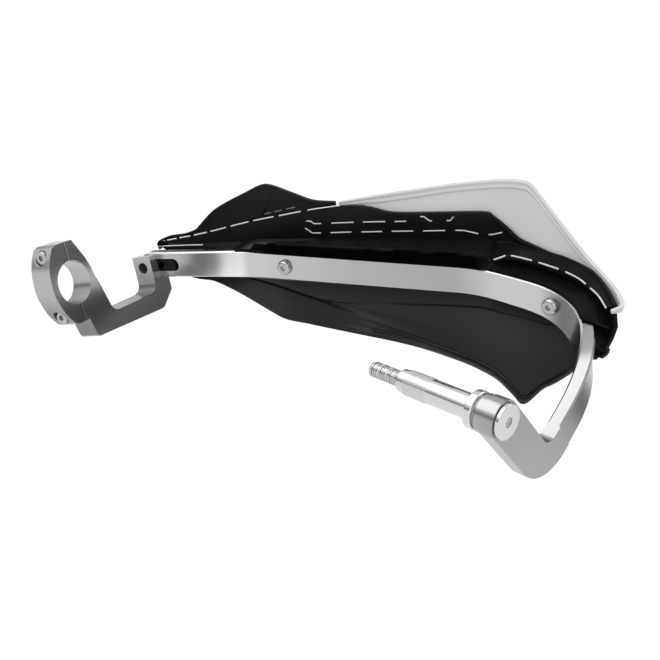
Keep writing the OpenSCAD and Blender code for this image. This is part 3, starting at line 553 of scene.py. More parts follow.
# lines of the plastic pieces: distance along the bar, level distance forward of it, height
shellLines = {
    "rim": (
        (-1, 9, 10.3), (6, 9, 10.5), (28, 5.5, -10.7), (50, 4.5, -14.4), (64.5, 4, -19.5),
        (80, 4, -26.7), (98, 4, -35.3), (113, 4, -41.2), (131, 4, -42.9), (149, 4, -44.7),
        (176, 4, -47.1), (202, 3.5, -49.2), (224.5, 2.5, -51.5), (245.3, 0, -54.2), (258.5, -2, -56),
        (272.5, -4, -58.6), (284, -6.5, -64.4), (291.5, -8, -66.8), (300, -3, -55.5), (305.5, 0, -49),
        (312, 2, -40), (317.5, 4, -31.2), (322, 8, -22), (326.5, 11.5, -17.5),
    ),
    "lowCrease": (
        (-1, 9, 10.7), (6, 9, 11), (28, 6.5, -8), (49, 7, -9.8), (65, 7.6, -11.8), (82, 8, -14.6),
        (101, 8.4, -18.4), (115, 8.6, -21.9), (132, 8.8, -26), (150, 8.4, -30.6), (176, 8, -36.5),
        (200, 7.5, -41.7), (226, 6.5, -47.8), (247.5, 4.5, -52.2), (260.5, 2.5, -54), (273, 0, -56),
        (284.5, -3.5, -60.6), (291.5, -5, -62.6), (299.5, -1, -52.5), (305, 2, -46), (311.5, 4, -37),
        (317, 6, -28), (321.5, 9.5, -19.5), (328.2, 12.4, -13),
    ),
    "highCrease": (
        (-1, 9, 11), (6, 9, 11.5), (28, 7.4, -7.4), (49, 7.6, -9.3), (65, 8, -11), (82, 8.6, -13.4),
        (101, 9.2, -17), (115, 9.6, -20.4), (133, 9.8, -24.6), (152, 10, -26.4), (176, 10, -26),
        (199, 10, -25), (224, 10, -23.6), (249, 9.5, -22), (260, 7.5, -20.8), (267.5, 6.2, -20.2),
        (277, 6, -19), (286.5, 6, -18.6), (297, 6, -17.3), (304, 6.5, -15.5), (311, 8, -13.5),
        (317, 10, -11), (322, 12, -8.5), (330.3, 13.4, -7),
    ),
    "behindLow": (
        (-1, 9, 11.4), (6, 9, 11.9), (28, 7.6, -5), (48, 7.5, -8), (66, 7.5, -8.5), (84, 7.5, -8.8),
        (103, 7.5, -9), (117, 7.5, -9), (132, 7.5, -9), (153, 7.5, -9), (175, 7.5, -9), (190, 7.5, -9),
        (218, 7.5, -9), (248, 7.5, -9), (259, 8.5, -9.5), (267, 9.5, -10), (278, 9.5, -10),
        (287, 9.5, -9.5), (297, 9.5, -8.5), (304.5, 9.5, -6), (312, 10.5, -3), (318, 12, -1),
        (324, 12.9, 1), (333.5, 13.8, 3.5),
    ),
    "behindHigh": (
        (-1, 9.3, 11.8), (6, 9, 12.2), (28, 8.4, 8), (48, 8, 8.5), (66, 7.5, 8.5), (84, 7.5, 8.5),
        (103, 7.5, 8.5), (117, 7.5, 8.5), (132, 7.5, 8.5), (153, 7.5, 8.5), (175, 7.5, 8.5),
        (190, 7.5, 8.5), (218, 7.5, 8.5), (248, 7.5, 8.5), (259, 7.5, 9), (267, 8, 9.5), (278, 8, 10),
        (287.5, 8.5, 10.5), (297, 9, 11), (304.5, 10, 11.5), (312, 11.5, 12.5), (318.5, 12.9, 13),
        (325, 12.9, 13.5), (337, 13.8, 14.5),
    ),
    "ridge": (
        (-1, 11, 12.2), (6, 11, 12.6), (28, 11, 12.6), (48, 11.5, 12.6), (66, 12, 12.6), (85, 13, 12.8),
        (105, 14, 13.4), (119, 15, 14), (134, 15.5, 14.8), (157, 16, 15.9), (175, 16.5, 16.6),
        (190, 17, 17.3), (218, 17, 18.7), (247, 17, 19.8), (257, 17, 21), (266, 17.4, 22),
        (273, 16.9, 22), (287.5, 14.8, 22.6), (297.5, 14, 22.9), (304, 14, 23.1), (312, 14, 23.6),
        (318.5, 14, 23), (324, 14, 21.7), (332, 13.8, 20.5),
    ),
    "top": (
        (-1, 12, 13), (6, 12, 14.3), (28, 12, 17.2), (46, 12, 20.1), (65, 12, 23.8), (84.6, 12, 27.5),
        (106, 12, 31.6), (117, 12, 33.8), (130, 12.5, 36.3), (154.5, 13, 39.8), (172, 13, 39.2),
        (189, 13, 36), (217.5, 13, 36.7), (248.5, 13.5, 38.1), (254.5, 14, 36.2), (261.5, 15, 31),
        (271.5, 16, 24.4), (287.5, 15.1, 23.6), (297.5, 14.3, 23.9), (304, 14.3, 24.1),
        (312, 14.3, 24.6), (318.5, 14.3, 24), (324, 14.3, 22.7), (331.8, 13.9, 21.5),
    ),
    "shelfFold": (
        (77, 4.6, 10.8), (86, 2, 12.4), (97, -1, 14), (110, -3.5, 15), (130, -4, 15.4), (160, -4, 15.4),
        (200, -4, 15.2), (235, -4, 15.1), (255, -4, 15.6),
    ),
    "shelfFront": (
        (77, 9.5, 11.5), (86, 14, 12.8), (97, 14.6, 13.2), (110, 15.4, 13.6), (130, 16.4, 14.6),
        (160, 17, 16), (200, 18, 17.8), (235, 18, 19.3), (255, 18, 20.8), (262, 9.5, 11.6),
        (275, 9.5, 11.6), (289, 10, 11.8), (299, 10.5, 12), (307, 11.5, 12.4), (315, 12.2, 13),
        (324, 13, 11.8), (333, 13.4, 8.6),
    ),
    "flangeInner": (
        (251, -3.8, 15.6), (260, 0.5, 13.6), (266, 2, 16.2), (270.5, 3, 18.4), (283, 5, 18.5),
        (296, 6, 18.5), (303.5, 7, 18.8), (311, 8.5, 18.8), (317, 9.8, 18), (323, 10.5, 18.2),
        (330.5, 10.8, 18.6),
    ),
    "flangeOuter": (
        (250, 18, 20.3), (257, 18, 21), (266, 18.2, 22), (273, 17.9, 22), (285, 16.6, 22.5),
        (297.5, 15.8, 22.9), (304, 15.8, 23.1), (312, 15.8, 23.6), (318.5, 15.8, 23), (324, 15.8, 21.7),
        (331.2, 15.8, 21),
    ),
    "wingLow": (
        (-5.8, 14.9, 11.2), (-3, 14.9, 11.4), (7, 14.9, 11.8), (20, 14.9, 12.5), (30, 14.9, 13.5),
        (35, 14.9, 14.5), (41, 15, 15.5), (49, 15, 16.5), (59, 15.1, 18), (73, 15.3, 20.5),
        (86, 15.5, 22), (95, 15.6, 23.5), (111, 15.7, 26.5), (128, 15.8, 30.5), (146, 15.8, 34),
    ),
    "wingTop": (
        (-5.8, 15, 12), (-4, 15, 14), (6.5, 15, 17.1), (19.3, 15.5, 18.5), (29.6, 15.5, 21.4),
        (33.8, 16, 25), (39.2, 16, 29.8), (46.7, 16, 35.5), (57.2, 16, 40.6), (72.3, 16, 46.5),
        (86, 16, 52), (94.8, 16, 52.2), (111, 16, 47.3), (128, 16, 42.2), (146, 16, 41.5),
    ),
    "deflectorLow": (
        (148, 17, 33.5), (158, 17, 34), (172, 17, 33.5), (189, 17, 30.5), (205, 17, 30.5),
        (222, 17, 31), (240, 17, 32), (251, 17.3, 30), (259, 18.5, 26), (267, 19.8, 20),
        (275, 19.4, 17), (284, 18.6, 17.5), (294, 17.8, 18), (303, 17.7, 18.3), (311, 17.7, 18.5),
        (318, 17.7, 17.5), (325, 17.9, 16.4), (329, 17.9, 17.5), (332, 17, 19.2), (333, 14.3, 19.6),
        (333.4, 11.8, 19.8),
    ),
    "deflectorTop": (
        (148, 17.5, 41.3), (156, 17.8, 42.8), (171, 18, 45.5), (185, 18, 47.8), (200, 18, 50.1),
        (223.5, 18, 53.8), (240, 18, 55.8), (254, 18, 57.8), (263, 18, 59.2), (269, 17.8, 59.8),
        (273.5, 17.6, 59.5), (279.5, 17.3, 55), (290, 16.6, 45.4), (300, 16.6, 35.4), (309, 17.1, 28.6),
        (317, 17.8, 24.8), (324.3, 18.5, 23.3), (330.8, 17.9, 23.1), (332.8, 16.9, 22.9),
        (333.6, 14.3, 22.3), (333.9, 11.8, 21.5),
    ),
}


def lineOf(name, steps):
    return smoothLine([beside(*q) for q in shellLines[name]], steps)


def runsOf(name, steps):
    return smoothLine([q[0] for q in shellLines[name]], steps)


def forwardOf(name, steps):
    return np.array([levelNormal(s) for s in runsOf(name, steps)])


def bowedRows(low, high, shares, bulge):
    # one row of points at each share of the way from the low line to the high one
    return [low + (high - low) * f + np.sin(math.pi * f) * bulge for f in shares]


# walls made from grids of points


class Parts:
    # collects closed bodies that become one mesh
    def __init__(self):
        self.points = []
        self.faces = []

    def add(self, points, faces):
        points = np.asarray(points, dtype=float)
        volume = 0.0
        for face in faces:
            a = points[face[0]]
            for i in range(1, len(face) - 1):
                volume += a.dot(np.cross(points[face[i]], points[face[i + 1]]))
        if volume < 0.0:
            faces = [tuple(reversed(face)) for face in faces]
        start = len(self.points)
        self.points.extend(points.tolist())
        self.faces.extend(tuple(start + k for k in face) for face in faces)

    def piece(self, name):
        mesh = bpy.data.meshes.new(name)
        mesh.from_pydata([[mm * v for v in p] for p in self.points], [], self.faces)
        mesh.update()
        return objectOf(name, mesh)


def gridNormals(grid):
    padded = np.pad(grid, ((1, 1), (1, 1), (0, 0)), "edge")
    along = padded[1:-1, 2:] - padded[1:-1, :-2]
    across = padded[2:, 1:-1] - padded[:-2, 1:-1]
    normals = np.cross(along, across)
    return normals / np.linalg.norm(normals, axis=2)[:, :, None]


def wall(parts, grid, thickness, side, relief=None):
    # relief moves only the near face, along the wall's own normal
    rows, cols = grid.shape[:2]
    normals = gridNormals(grid)
    near = grid if relief is None else grid + side * relief[:, :, None] * normals
    far = grid + side * thickness * normals
    points = np.concatenate([near.reshape(-1, 3), far.reshape(-1, 3)])
    half = rows * cols
    faces = []
    for r in range(rows - 1):
        for c in range(cols - 1):
            a = r * cols + c
            quad = (a, a + 1, a + cols + 1, a + cols)
            faces.append(quad)
            faces.append(tuple(half + k for k in reversed(quad)))
    at = np.arange(half).reshape(rows, cols)
    border = np.concatenate([at[0, :-1], at[:-1, -1], at[-1, :0:-1], at[:0:-1, 0]]).tolist()
    faces += [(b, a, half + a, half + b) for a, b in zip(border, border[1:] + border[:1])]
    parts.add(points, faces)


rodSides = 32


def rod(parts, place, axis, radius, length, edge):
    # a closed round rod with a chamfered end; its axis lies near level
    axis = unit(np.asarray(axis, dtype=float))
    x = unit(np.cross((0.0, 0.0, 1.0), axis))
    y = np.cross(axis, x)
    points = []
    faces = []
    for r, d in ((radius, 0.0), (radius, length - edge), (radius - edge, length)):
        for k in range(rodSides):
            a = 2.0 * math.pi * k / rodSides
            points.append(place + d * axis + r * (math.cos(a) * x + math.sin(a) * y))
    for ring in range(2):
        for k in range(rodSides):
            a = ring * rodSides + k
            b = ring * rodSides + (k + 1) % rodSides
            faces.append((a, b, b + rodSides, a + rodSides))
    faces.append(tuple(reversed(range(rodSides))))
    faces.append(tuple(range(2 * rodSides, 3 * rodSides)))
    parts.add(points, faces)


def rise(value, low, high):
    u = min(max((value - low) / (high - low), 0.0), 1.0)
    return u * u * (3.0 - 2.0 * u)


def span(value, ends):
    # rises from 0 to 1 between the first two ends and falls back between the last two
    return rise(value, ends[0], ends[1]) * (1.0 - rise(value, ends[2], ends[3]))


def bakeModifiers(piece):
    graph = bpy.context.evaluated_depsgraph_get()
    graph.update()
    done = bpy.data.meshes.new_from_object(piece.evaluated_get(graph))
    piece.modifiers.clear()
    piece.data = done


edges = {
    "segments": 2,
    "bevelAngle": 32.0,
    "sharpAngle": 38.0,
    "flatWeight": 60,
}


def breakEdges(piece, width, angle=edges["bevelAngle"], sharp=edges["sharpAngle"], flats=False):
    bevel = piece.modifiers.new("edges", "BEVEL")
    bevel.width = width * mm
    bevel.segments = edges["segments"]
    bevel.limit_method = "ANGLE"
    bevel.angle_limit = math.radians(angle)
    bakeModifiers(piece)
    piece.data.shade_smooth()
    piece.data.set_sharp_from_angle(angle=math.radians(sharp))
    if flats:
        weigh = piece.modifiers.new("flats", "WEIGHTED_NORMAL")
        weigh.keep_sharp = True
        weigh.weight = edges["flatWeight"]
        bakeModifiers(piece)


def dress(piece, finishName, slotName, *replaced):
    piece.data.materials.clear()
    piece.data.materials.append(finishes[finishName])
    for polygon in piece.data.polygons:
        polygon.material_index = 0
    if replaced:
        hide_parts(*replaced)
    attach(piece, "root")
    return piece


# pieces made from the frame's own solids, with broken edges

print("stage: metal pieces")

solids = {
    "mergeReach": 0.000002,
    "flatAngle": 0.5,
}
solidPieces = [
    # piece, node, finish, slot, edge width
    ("barPiece", "backbone_bar", "bar", "bar_metal", 0.5),
    ("armPiece", "clamp_arm", "clamp", "clamp_metal", 0.4),
    ("capPiece", "clamp_cap", "clamp", "clamp_metal", 0.4),
    ("capScrewUpper", "clamp_screw_upper", "fastener", "fastener_metal", 0.15),
    ("capScrewLower", "clamp_screw_lower", "fastener", "fastener_metal", 0.15),
    ("armBolt", "arm_bolt", "shadedBolt", "fastener_metal", 0.2),
    ("armWasher", "arm_washer", "fastener", "fastener_metal", 0.2),
    ("slotKey", "slot_key", "key", "key_plastic", 0.3),
    ("plugBolt", "plug_bolt", "plug", "plug_metal", 0.2),
    ("spacerRing", "spacer_ring", "plug", "plug_metal", 0.2),
    ("sleeve", "expansion_sleeve", "plug", "plug_metal", 0.15),
    ("cone", "expander_cone", "plug", "plug_metal", 0.15),
    ("barScrewInner", "shell_screw_inner", "fastener", "fastener_metal", 0.15),
    ("barScrewOuter", "shell_screw_outer", "fastener", "fastener_metal", 0.15),
]


def mergedCopy(nodeName, pieceName):
    mesh = nodes[nodeName].data.copy()
    mesh.name = pieceName
    mesh.materials.clear()
    made = bmesh.new()
    made.from_mesh(mesh)
    bmesh.ops.remove_doubles(made, verts=made.verts, dist=solids["mergeReach"])
    flat = math.radians(solids["flatAngle"])
    bmesh.ops.dissolve_limit(made, angle_limit=flat, verts=made.verts, edges=made.edges)
    made.to_mesh(mesh)
    made.free()
    return objectOf(pieceName, mesh)


def makeSolidPieces():
    for pieceName, nodeName, finishName, slotName, width in solidPieces:
        piece = mergedCopy(nodeName, pieceName)
        breakEdges(piece, width, flats=True)
        dress(piece, finishName, slotName, nodeName)


makeSolidPieces()

# the black shell

print("stage: shell")

shell = {
    "steps": 5,
    "wall": 2.4,
    "edge": 0.55,
    "edgeAngle": 50.0,
    "sharpAngle": 40.0,
    # shares of a band's height at which it has a row of points
    "shieldShares": (0.0, 0.03, 0.12, 0.3, 0.5, 0.7, 0.88, 0.97),
    "shieldBulge": 2.2,
    "lowBehindShares": (0.0, 0.5),
    "highBehindShares": (0.0, 0.5, 0.9),
    "wallShares": (0.0, 0.05, 0.3, 0.6, 0.85, 0.97),
    "wallBulge": 0.5,
    # share of the band between rim and low crease, and how deep the near face goes there
    "grooves": (
        (0.0, 0.15), (0.06, -0.1), (0.34, -0.1), (0.42, 1.3), (0.56, 1.3), (0.62, 0.25), (0.68, 0.25),
        (0.78, 1.25), (0.96, 1.0),
    ),
    "grooveSpan": (150.0, 195.0, 308.0, 318.0),
    # share of the band above the high crease, and how deep the near face goes there
    "ledge": ((0.0, 0.0), (0.05, 1.5), (0.5, 1.5), (0.94, 1.5)),
    "ledgeSpan": (150.0, 200.0, 292.0, 302.0),
    "shelfWall": 1.7,
    "shelfLift": 0.4,
    "shelfRearShares": (0.0, 0.1, 0.5, 0.9),
    "shelfFrontShares": (0.0, 0.04, 0.3, 0.65, 0.97, 1.0),
    "outerFoldRuns": (262.0, 275.0, 289.0, 299.0, 307.0, 315.0, 321.5, 327.0),
    "foldClear": 0.6,
    "shelfRearEnd": 322.5,
    "flangeWall": 2.0,
    "flangeShares": (0.04, 0.12, 0.5, 0.88, 1.0),
    "flangeLip": 2.4,
    "flangeLipShares": (1.0, 0.5, 0.15),
    "screwRuns": (118.0, 302.0),
    # radius, length and edge of the bosses, and the gap behind the large ones
    "boss": (7.0, 6.9, 0.6),
    "bossGap": 0.2,
    "smallBoss": (4.0, 5.2, 0.3),
    "smallBosses": (
        (84.0, 18.0, 23.5), (117.0, 18.4, 29.5), (166.0, 19.8, 36.0), (219.0, 20.0, 33.0),
        (236.0, 20.2, 33.0),
    ),
}


# painted shade of the black pieces by height above the bar, and what takes it off or adds to it
paint = {
    "byHeight": (
        (-50, 0.30), (-30, 0.25), (-20, 0.34), (-14, 0.60), (-4, 0.84), (8, 0.84), (20, 0.72),
        (38, 0.62), (60, 0.42),
    ),
    # first run, end and step of the places on the bar that points are measured from
    "runs": (-4.0, 345.0, 3.0),
    # the glows, patches of painted light, lie below the first height, and the shelf's painted shade and
    # light between it and the second
    "glowTop": -3.0,
    "shelfHeight": 16.6,
    "glows": ((0.45, (66.0, 84.0, 92.0, 122.0)), (0.12, (210.0, 262.0, 276.0, 312.0))),
    "shelfTop": 0.0,
    "shelfWall": 0.965,
    "shelfSpan": (80.0, 92.0, 250.0, 262.0),
    # upward share of a normal that makes a face a top
    "facingUp": 0.8,
}


def readVectors(mesh, name):
    values = np.empty(3 * len(mesh.vertices))
    mesh.vertices.foreach_get(name, values)
    return values.reshape(-1, 3)


def paintShade(piece):
    mesh = piece.data
    points = readVectors(mesh, "co") / mm
    normals = readVectors(mesh, "normal")
    runs = np.arange(*paint["runs"])
    places = np.array([barAt(s) for s in runs])
    ahead = np.array([levelNormal(s) for s in runs])
    near = np.argmin(np.linalg.norm(points[:, None, :2] - places[None, :, :2], axis=2), axis=1)
    heights, tones = zip(*paint["byHeight"])
    shade = mesh.attributes.new("shade", "FLOAT", "POINT")
    for i, k in enumerate(near):
        s = runs[k]
        h = ahead[k].dot(points[i] - places[k])
        z = points[i][2] - places[k][2]
        value = float(np.interp(z, heights, tones))
        if z < paint["glowTop"]:
            for glow, ends in paint["glows"]:
                value -= glow * span(s, ends)
        elif z < paint["shelfHeight"]:
            on = span(s, paint["shelfSpan"])
            if h < 0.0 and normals[i][2] < paint["facingUp"]:
                value += (paint["shelfWall"] - value) * on
            elif normals[i][2] > paint["facingUp"]:
                value += (paint["shelfTop"] - value) * on
        shade.data[i].value = min(max(value, 0.0), 1.0)


def makeSkin(parts):
    steps = shell["steps"]
    names = ("rim", "lowCrease", "highCrease", "behindLow", "behindHigh", "ridge", "top")
    lines = [lineOf(name, steps) for name in names]
    runs = runsOf("ridge", steps)
    forward = forwardOf("ridge", steps)
    grooves = np.array([span(s, shell["grooveSpan"]) for s in runs])
    ledges = np.array([span(s, shell["ledgeSpan"]) for s in runs])
    flat = np.zeros(len(runs))

    def plain(shares):
        return [(f, 0.0) for f in shares]

    bands = (
        # profile, where its depth shows, and bulge of the band above each line
        (shell["grooves"], grooves, 0.0),
        (plain(shell["shieldShares"]), flat, shell["shieldBulge"]),
        (shell["ledge"], ledges, 0.0),
        (plain(shell["lowBehindShares"]), flat, 0.0),
        (plain(shell["highBehindShares"]), flat, 0.0),
        (plain(shell["wallShares"]), flat, shell["wallBulge"] * bulgeShare(lines[-2], lines[-1])),
    )
    rows = []
    relief = []
    for low, high, (profile, shown, bulge) in zip(lines, lines[1:], bands):
        rows += bowedRows(low, high, [f for f, depth in profile], bulge * forward)
        relief += [depth * shown for f, depth in profile]
    wall(parts, np.array(rows + [lines[-1]]), shell["wall"], -1, np.array(relief + [flat]))


def makeShelf(parts):
    steps = shell["steps"]
    halfThick = barRun["thickness"] / 2
    halfWide = barRun["width"] / 2
    clear = shell["foldClear"]
    fold = [beside(*q) for q in shellLines["shelfFold"]]
    for s in shell["outerFoldRuns"]:
        place, along, across, face = barFrame(s)
        fold.append(place + (halfThick + clear) * face + (halfWide + clear) * across)
    rear = []
    for s in [q[0] for q in shellLines["shelfFold"]] + list(shell["outerFoldRuns"]):
        place, along, across, face = barFrame(min(s, shell["shelfRearEnd"]))
        rear.append(place - halfThick * face + (halfWide + shell["shelfLift"]) * across)
    fold = smoothLine(fold, steps)
    rear = smoothLine(rear, steps)
    front = lineOf("shelfFront", steps)
    rows = [rear + (fold - rear) * f for f in shell["shelfRearShares"]]
    rows += [fold + (front - fold) * f for f in shell["shelfFrontShares"]]
    wall(parts, np.array(rows), shell["shelfWall"], 1)


def makeFlange(parts):
    # a lip is turned down along its inner edge
    inner = lineOf("flangeInner", shell["steps"])
    outer = lineOf("flangeOuter", shell["steps"])
    down = np.array([0.0, 0.0, -shell["flangeLip"]])
    rows = [inner + down * f for f in shell["flangeLipShares"]]
    rows += [inner + (outer - inner) * f for f in shell["flangeShares"]]
    wall(parts, np.array(rows), shell["flangeWall"], -1)


def makeShell():
    parts = Parts()
    makeSkin(parts)
    makeShelf(parts)
    makeFlange(parts)
    for s in shell["screwRuns"]:
        place, along, across, face = barFrame(s)
        rod(parts, place + (barRun["thickness"] / 2 + shell["bossGap"]) * face, face, *shell["boss"])
    for s, h, z in shell["smallBosses"]:
        rod(parts, beside(s, h - shell["smallBoss"][1], z), levelNormal(s), *shell["smallBoss"])
    piece = parts.piece("shellPiece")
    breakEdges(piece, shell["edge"], shell["edgeAngle"], shell["sharpAngle"])
    paintShade(piece)
    return dress(piece, "shell", "shell_plastic", "main_shell")


shellPiece = makeShell()

# wing and wind deflector

print("stage: wing and deflector")

wing = {
    "steps": 6,
    "shares": (0.0, 0.04, 0.2, 0.4, 0.6, 0.8, 0.96, 1.0),
    "wall": 2.2,
    "bulge": 1.5,
    "edge": 0.5,
    "edgeAngle": 45.0,
    # distance along the bar, height and depth of the recess's corners
    "recess": ((95.5, 46.0, 0.5), (87.2, 30.0, 1.7), (130.0, 39.5, 1.3)),
    "recessSlots": ((88.6, 94.2), (97.2, 103.2), (106.6, 114.0)),
    "recessSlotLift": 1.0,
    # where the search for the near face starts, forward of the bar, and how far the prism stands out
    "searchStart": -10.0,
    "prismOut": 12.0,
}
deflector = {
    "steps": 6,
    "shares": (0.0, 0.03, 0.15, 0.3, 0.45),
    "wall": 2.1,
    "bulge": 1.05,
    "edge": 0.45,
    "edgeAngle": 55.0,
    "sharpAngle": 50.0,
    # distance in from the edge, and how far the near face stands out there
    "rim": (
        (6.0, 0.0), (5.2, 0.0), (4.5, -0.55), (3.9, -0.55), (3.3, -0.1), (1.9, -0.1), (1.3, -0.5),
        (0.5, -0.5), (0.0, -0.2),
    ),
    "rimSpan": 14.0,
}


def linesOf(values, lowName, topName):
    low = lineOf(lowName, values["steps"])
    top = lineOf(topName, values["steps"])
    return low, top, values["bulge"] * bulgeShare(low, top) * forwardOf(lowName, values["steps"])


def cutRecess(piece):
    # the triangular recess is cut with a prism
    tree = BVHTree.FromObject(piece, bpy.context.evaluated_depsgraph_get())
    outer = []
    inner = []
    for s, z, depth in wing["recess"]:
        normal = levelNormal(s)
        start = mm * beside(s, wing["searchStart"], z)
        corner = np.array(tree.ray_cast(Vector(start), Vector(normal))[0]) / mm
        outer.append(corner - wing["prismOut"] * normal)
        inner.append(corner + depth * normal)
    cutter = Parts()
    cutter.add(outer + inner, [(0, 1, 2), (5, 4, 3), (0, 3, 4, 1), (1, 4, 5, 2), (2, 5, 3, 0)])
    prism = cutter.piece("recessPrism")
    cut = piece.modifiers.new("recess", "BOOLEAN")
    cut.operation = "DIFFERENCE"
    cut.solver = "EXACT"
    cut.object = prism
    bakeModifiers(piece)
    bpy.data.objects.remove(prism)


def makeWing():
    low, top, bulge = linesOf(wing, "wingLow", "wingTop")
    parts = Parts()
    wall(parts, np.array(bowedRows(low, top, wing["shares"], bulge)), wing["wall"], -1)
    piece = parts.piece("wingPiece")
    cutRecess(piece)
    breakEdges(piece, wing["edge"], wing["edgeAngle"])
    paintShade(piece)
    return dress(piece, "shell", "shell_plastic", "upper_wing")


def makeDeflector():
    low, top, bulge = linesOf(deflector, "deflectorLow", "deflectorTop")
    length = np.linalg.norm(top - low, axis=1)
    scale = np.minimum(1.0, length / deflector["rimSpan"])
    shares = list(deflector["shares"])
    shares += [(1.0 - distance * scale / length)[:, None] for distance, height in deflector["rim"]]
    heights = [0.0 * scale for f in deflector["shares"]]
    heights += [height * scale for distance, height in deflector["rim"]]
    parts = Parts()
    wall(parts, np.array(bowedRows(low, top, shares, bulge)), deflector["wall"], -1, np.array(heights))
    piece = parts.piece("deflectorPiece")
    breakEdges(piece, deflector["edge"], deflector["edgeAngle"], deflector["sharpAngle"])
    dress(piece, "deflector", "deflector_plastic", "wind_deflector")


wingPiece = makeWing()
makeDeflector()

# what repeats or follows a line is made by Geometry Nodes

print("stage: slots, thread and rings")


def newTree(name, *floats, **others):
    tree = bpy.data.node_groups.new(name, "GeometryNodeTree")
    tree.interface.new_socket("Geometry", in_out="INPUT", socket_type="NodeSocketGeometry")
    tree.interface.new_socket("Geometry", in_out="OUTPUT", socket_type="NodeSocketGeometry")
    for title, kind in (*((title, "Float") for title in floats), *others.items()):
        tree.interface.new_socket(title, in_out="INPUT", socket_type="NodeSocket" + kind)
    tree = Tree(tree, "GeometryNode")
    return tree, tree.add("NodeGroupInput"), tree.add("NodeGroupOutput")


def endTree(tree, geometry, out, material):
    real = tree.add("RealizeInstances")
    paint = tree.add("SetMaterial", {"Material": material})
    smooth = tree.add("SetShadeSmooth")
    tree.join(
        (geometry, 0, real, 0),
        (real, 0, smooth, "Geometry"),
        (smooth, "Geometry", paint, "Geometry"),
        (paint, "Geometry", out, "Geometry"),
    )


def runTree(piece, tree, **values):
    modifier = piece.modifiers.new("nodes", "NODES")
    modifier.node_group = tree.tree
    for item in tree.tree.interface.items_tree:
        if item.in_out == "INPUT" and item.name in values:
            modifier[item.identifier] = values[item.name]
    bakeModifiers(piece)


def roundSweep(tree, curve, given, radiusName, sides):
    # a round bar along a curve, with its radius from the named input
    ring = tree.add("CurvePrimitiveCircle", {"Resolution": sides})
    sweep = tree.add("CurveToMesh", {"Fill Caps": True})
    tree.join(
        (given, radiusName, ring, "Radius"),
        (curve, 0, sweep, "Curve"),
        (ring, 0, sweep, "Profile Curve"),
    )
    return sweep


def beadTree(material):
    # a round bead along every line of the mesh it is given
    tree, given, out = newTree("beadTree", "Radius")
    line = tree.add("MeshToCurve")
    tree.join((given, "Geometry", line, 0))
    endTree(tree, roundSweep(tree, line, given, "Radius", slots["beadSides"]), out, material)
    return tree


slots = {
    "radius": 0.42,
    "wingRadius": 0.55,
    "lipRadius": 0.5,
    "beadSides": 8,
    "sink": 0.15,
    # where the search for a near face starts, forward of the bar, and the place where it finds none
    "searchStart": -1.0,
    "noFace": 14.0,
    # distance along the bar and height of each slot's line in the inner wall
    "wall": (
        ((125.5, 28.5), (128.5, 28.5), (131, 26.7), (136.5, 27)), ((144.5, 27.5), (161, 28.6)),
        ((168, 29), (184, 29.9)), ((191, 30.2), (199, 30.7)),
        ((209, 34.3), (211.5, 34.2), (214.7, 31.7), (216.6, 31.5)),
        ((226.5, 32), (228.8, 32.2), (230.9, 34.9)), ((124, 23.4), (129.5, 20), (136, 20.2)),
        ((143.5, 20.7), (159, 21.7)), ((166.5, 22), (181.5, 22.9)), ((188.5, 23.3), (203.5, 24.1)),
        ((210.5, 24.4), (225, 25.3)), ((232, 25.7), (237.5, 25.8), (246.5, 24.2)),
        ((252.8, 24.4), (255.5, 24.9), (260.7, 27.2)), ((2, 11.2), (21, 11.2), (40, 11.2)),
    ),
    "wallStep": 3.0,
    # spans along the shell's upper edge under the wing, and how far forward of it and above it they lie
    "wing": (
        (-1, 3), (5.5, 14), (17, 27), (30.5, 42), (45.5, 59), (63.5, 78.5), (82.5, 99), (104, 121),
        (126.5, 151),
    ),
    "wingPoints": 6,
    "wingForward": 1.2,
    "wingLift": 0.4,
    # spans along the flange's inner edge, and how far to its rear they lie
    "lip": ((262.0, 268.5), (271.7, 284.0), (288.0, 299.6), (303.5, 314.8), (317.5, 331.0)),
    "lipPoints": 7,
    "lipSteps": 6,
    "lipRear": 0.1,
}


def beadPiece(name, lines, radius, finishName):
    mesh = bpy.data.meshes.new(name)
    points = []
    links = []
    for line in lines:
        start = len(points)
        points += [tuple(mm * v for v in p) for p in line]
        links += [(start + k, start + k + 1) for k in range(len(line) - 1)]
    mesh.from_pydata(points, links, [])
    piece = objectOf(name, mesh)
    runTree(piece, beadTree(finishes[finishName]), Radius=radius * mm)
    dress(piece, finishName, "deflector_plastic")


def onSurface(tree, s, z):
    # first meeting with the wall, seen from the rider's side
    normal = levelNormal(s)
    hit = tree.ray_cast(Vector(mm * beside(s, slots["searchStart"], z)), Vector(normal))[0]
    if hit is None:
        hit = mm * beside(s, slots["noFace"], z)
    return np.array(hit) / mm - slots["sink"] * normal


def makeWallSlots(tree):
    lines = []
    for line in slots["wall"]:
        fine = []
        for a, b in zip(line, line[1:]):
            count = max(1, int(abs(b[0] - a[0]) / slots["wallStep"]))
            for k in range(count):
                fine.append((a[0] + (b[0] - a[0]) * k / count, a[1] + (b[1] - a[1]) * k / count))
        lines.append([onSurface(tree, s, z) for s, z in fine + [line[-1]]])
    beadPiece("wallSlots", lines, slots["radius"], "slotLight")


def makeWingSlots():
    topRuns, topPlaces, topHeights = zip(*shellLines["top"])

    def place(s):
        h = np.interp(s, topRuns, topPlaces) + slots["wingForward"]
        return beside(s, h, np.interp(s, topRuns, topHeights) + slots["wingLift"])

    lines = [[place(s) for s in np.linspace(*ends, slots["wingPoints"])] for ends in slots["wing"]]
    beadPiece("wingSlots", lines, slots["wingRadius"], "slotLight")


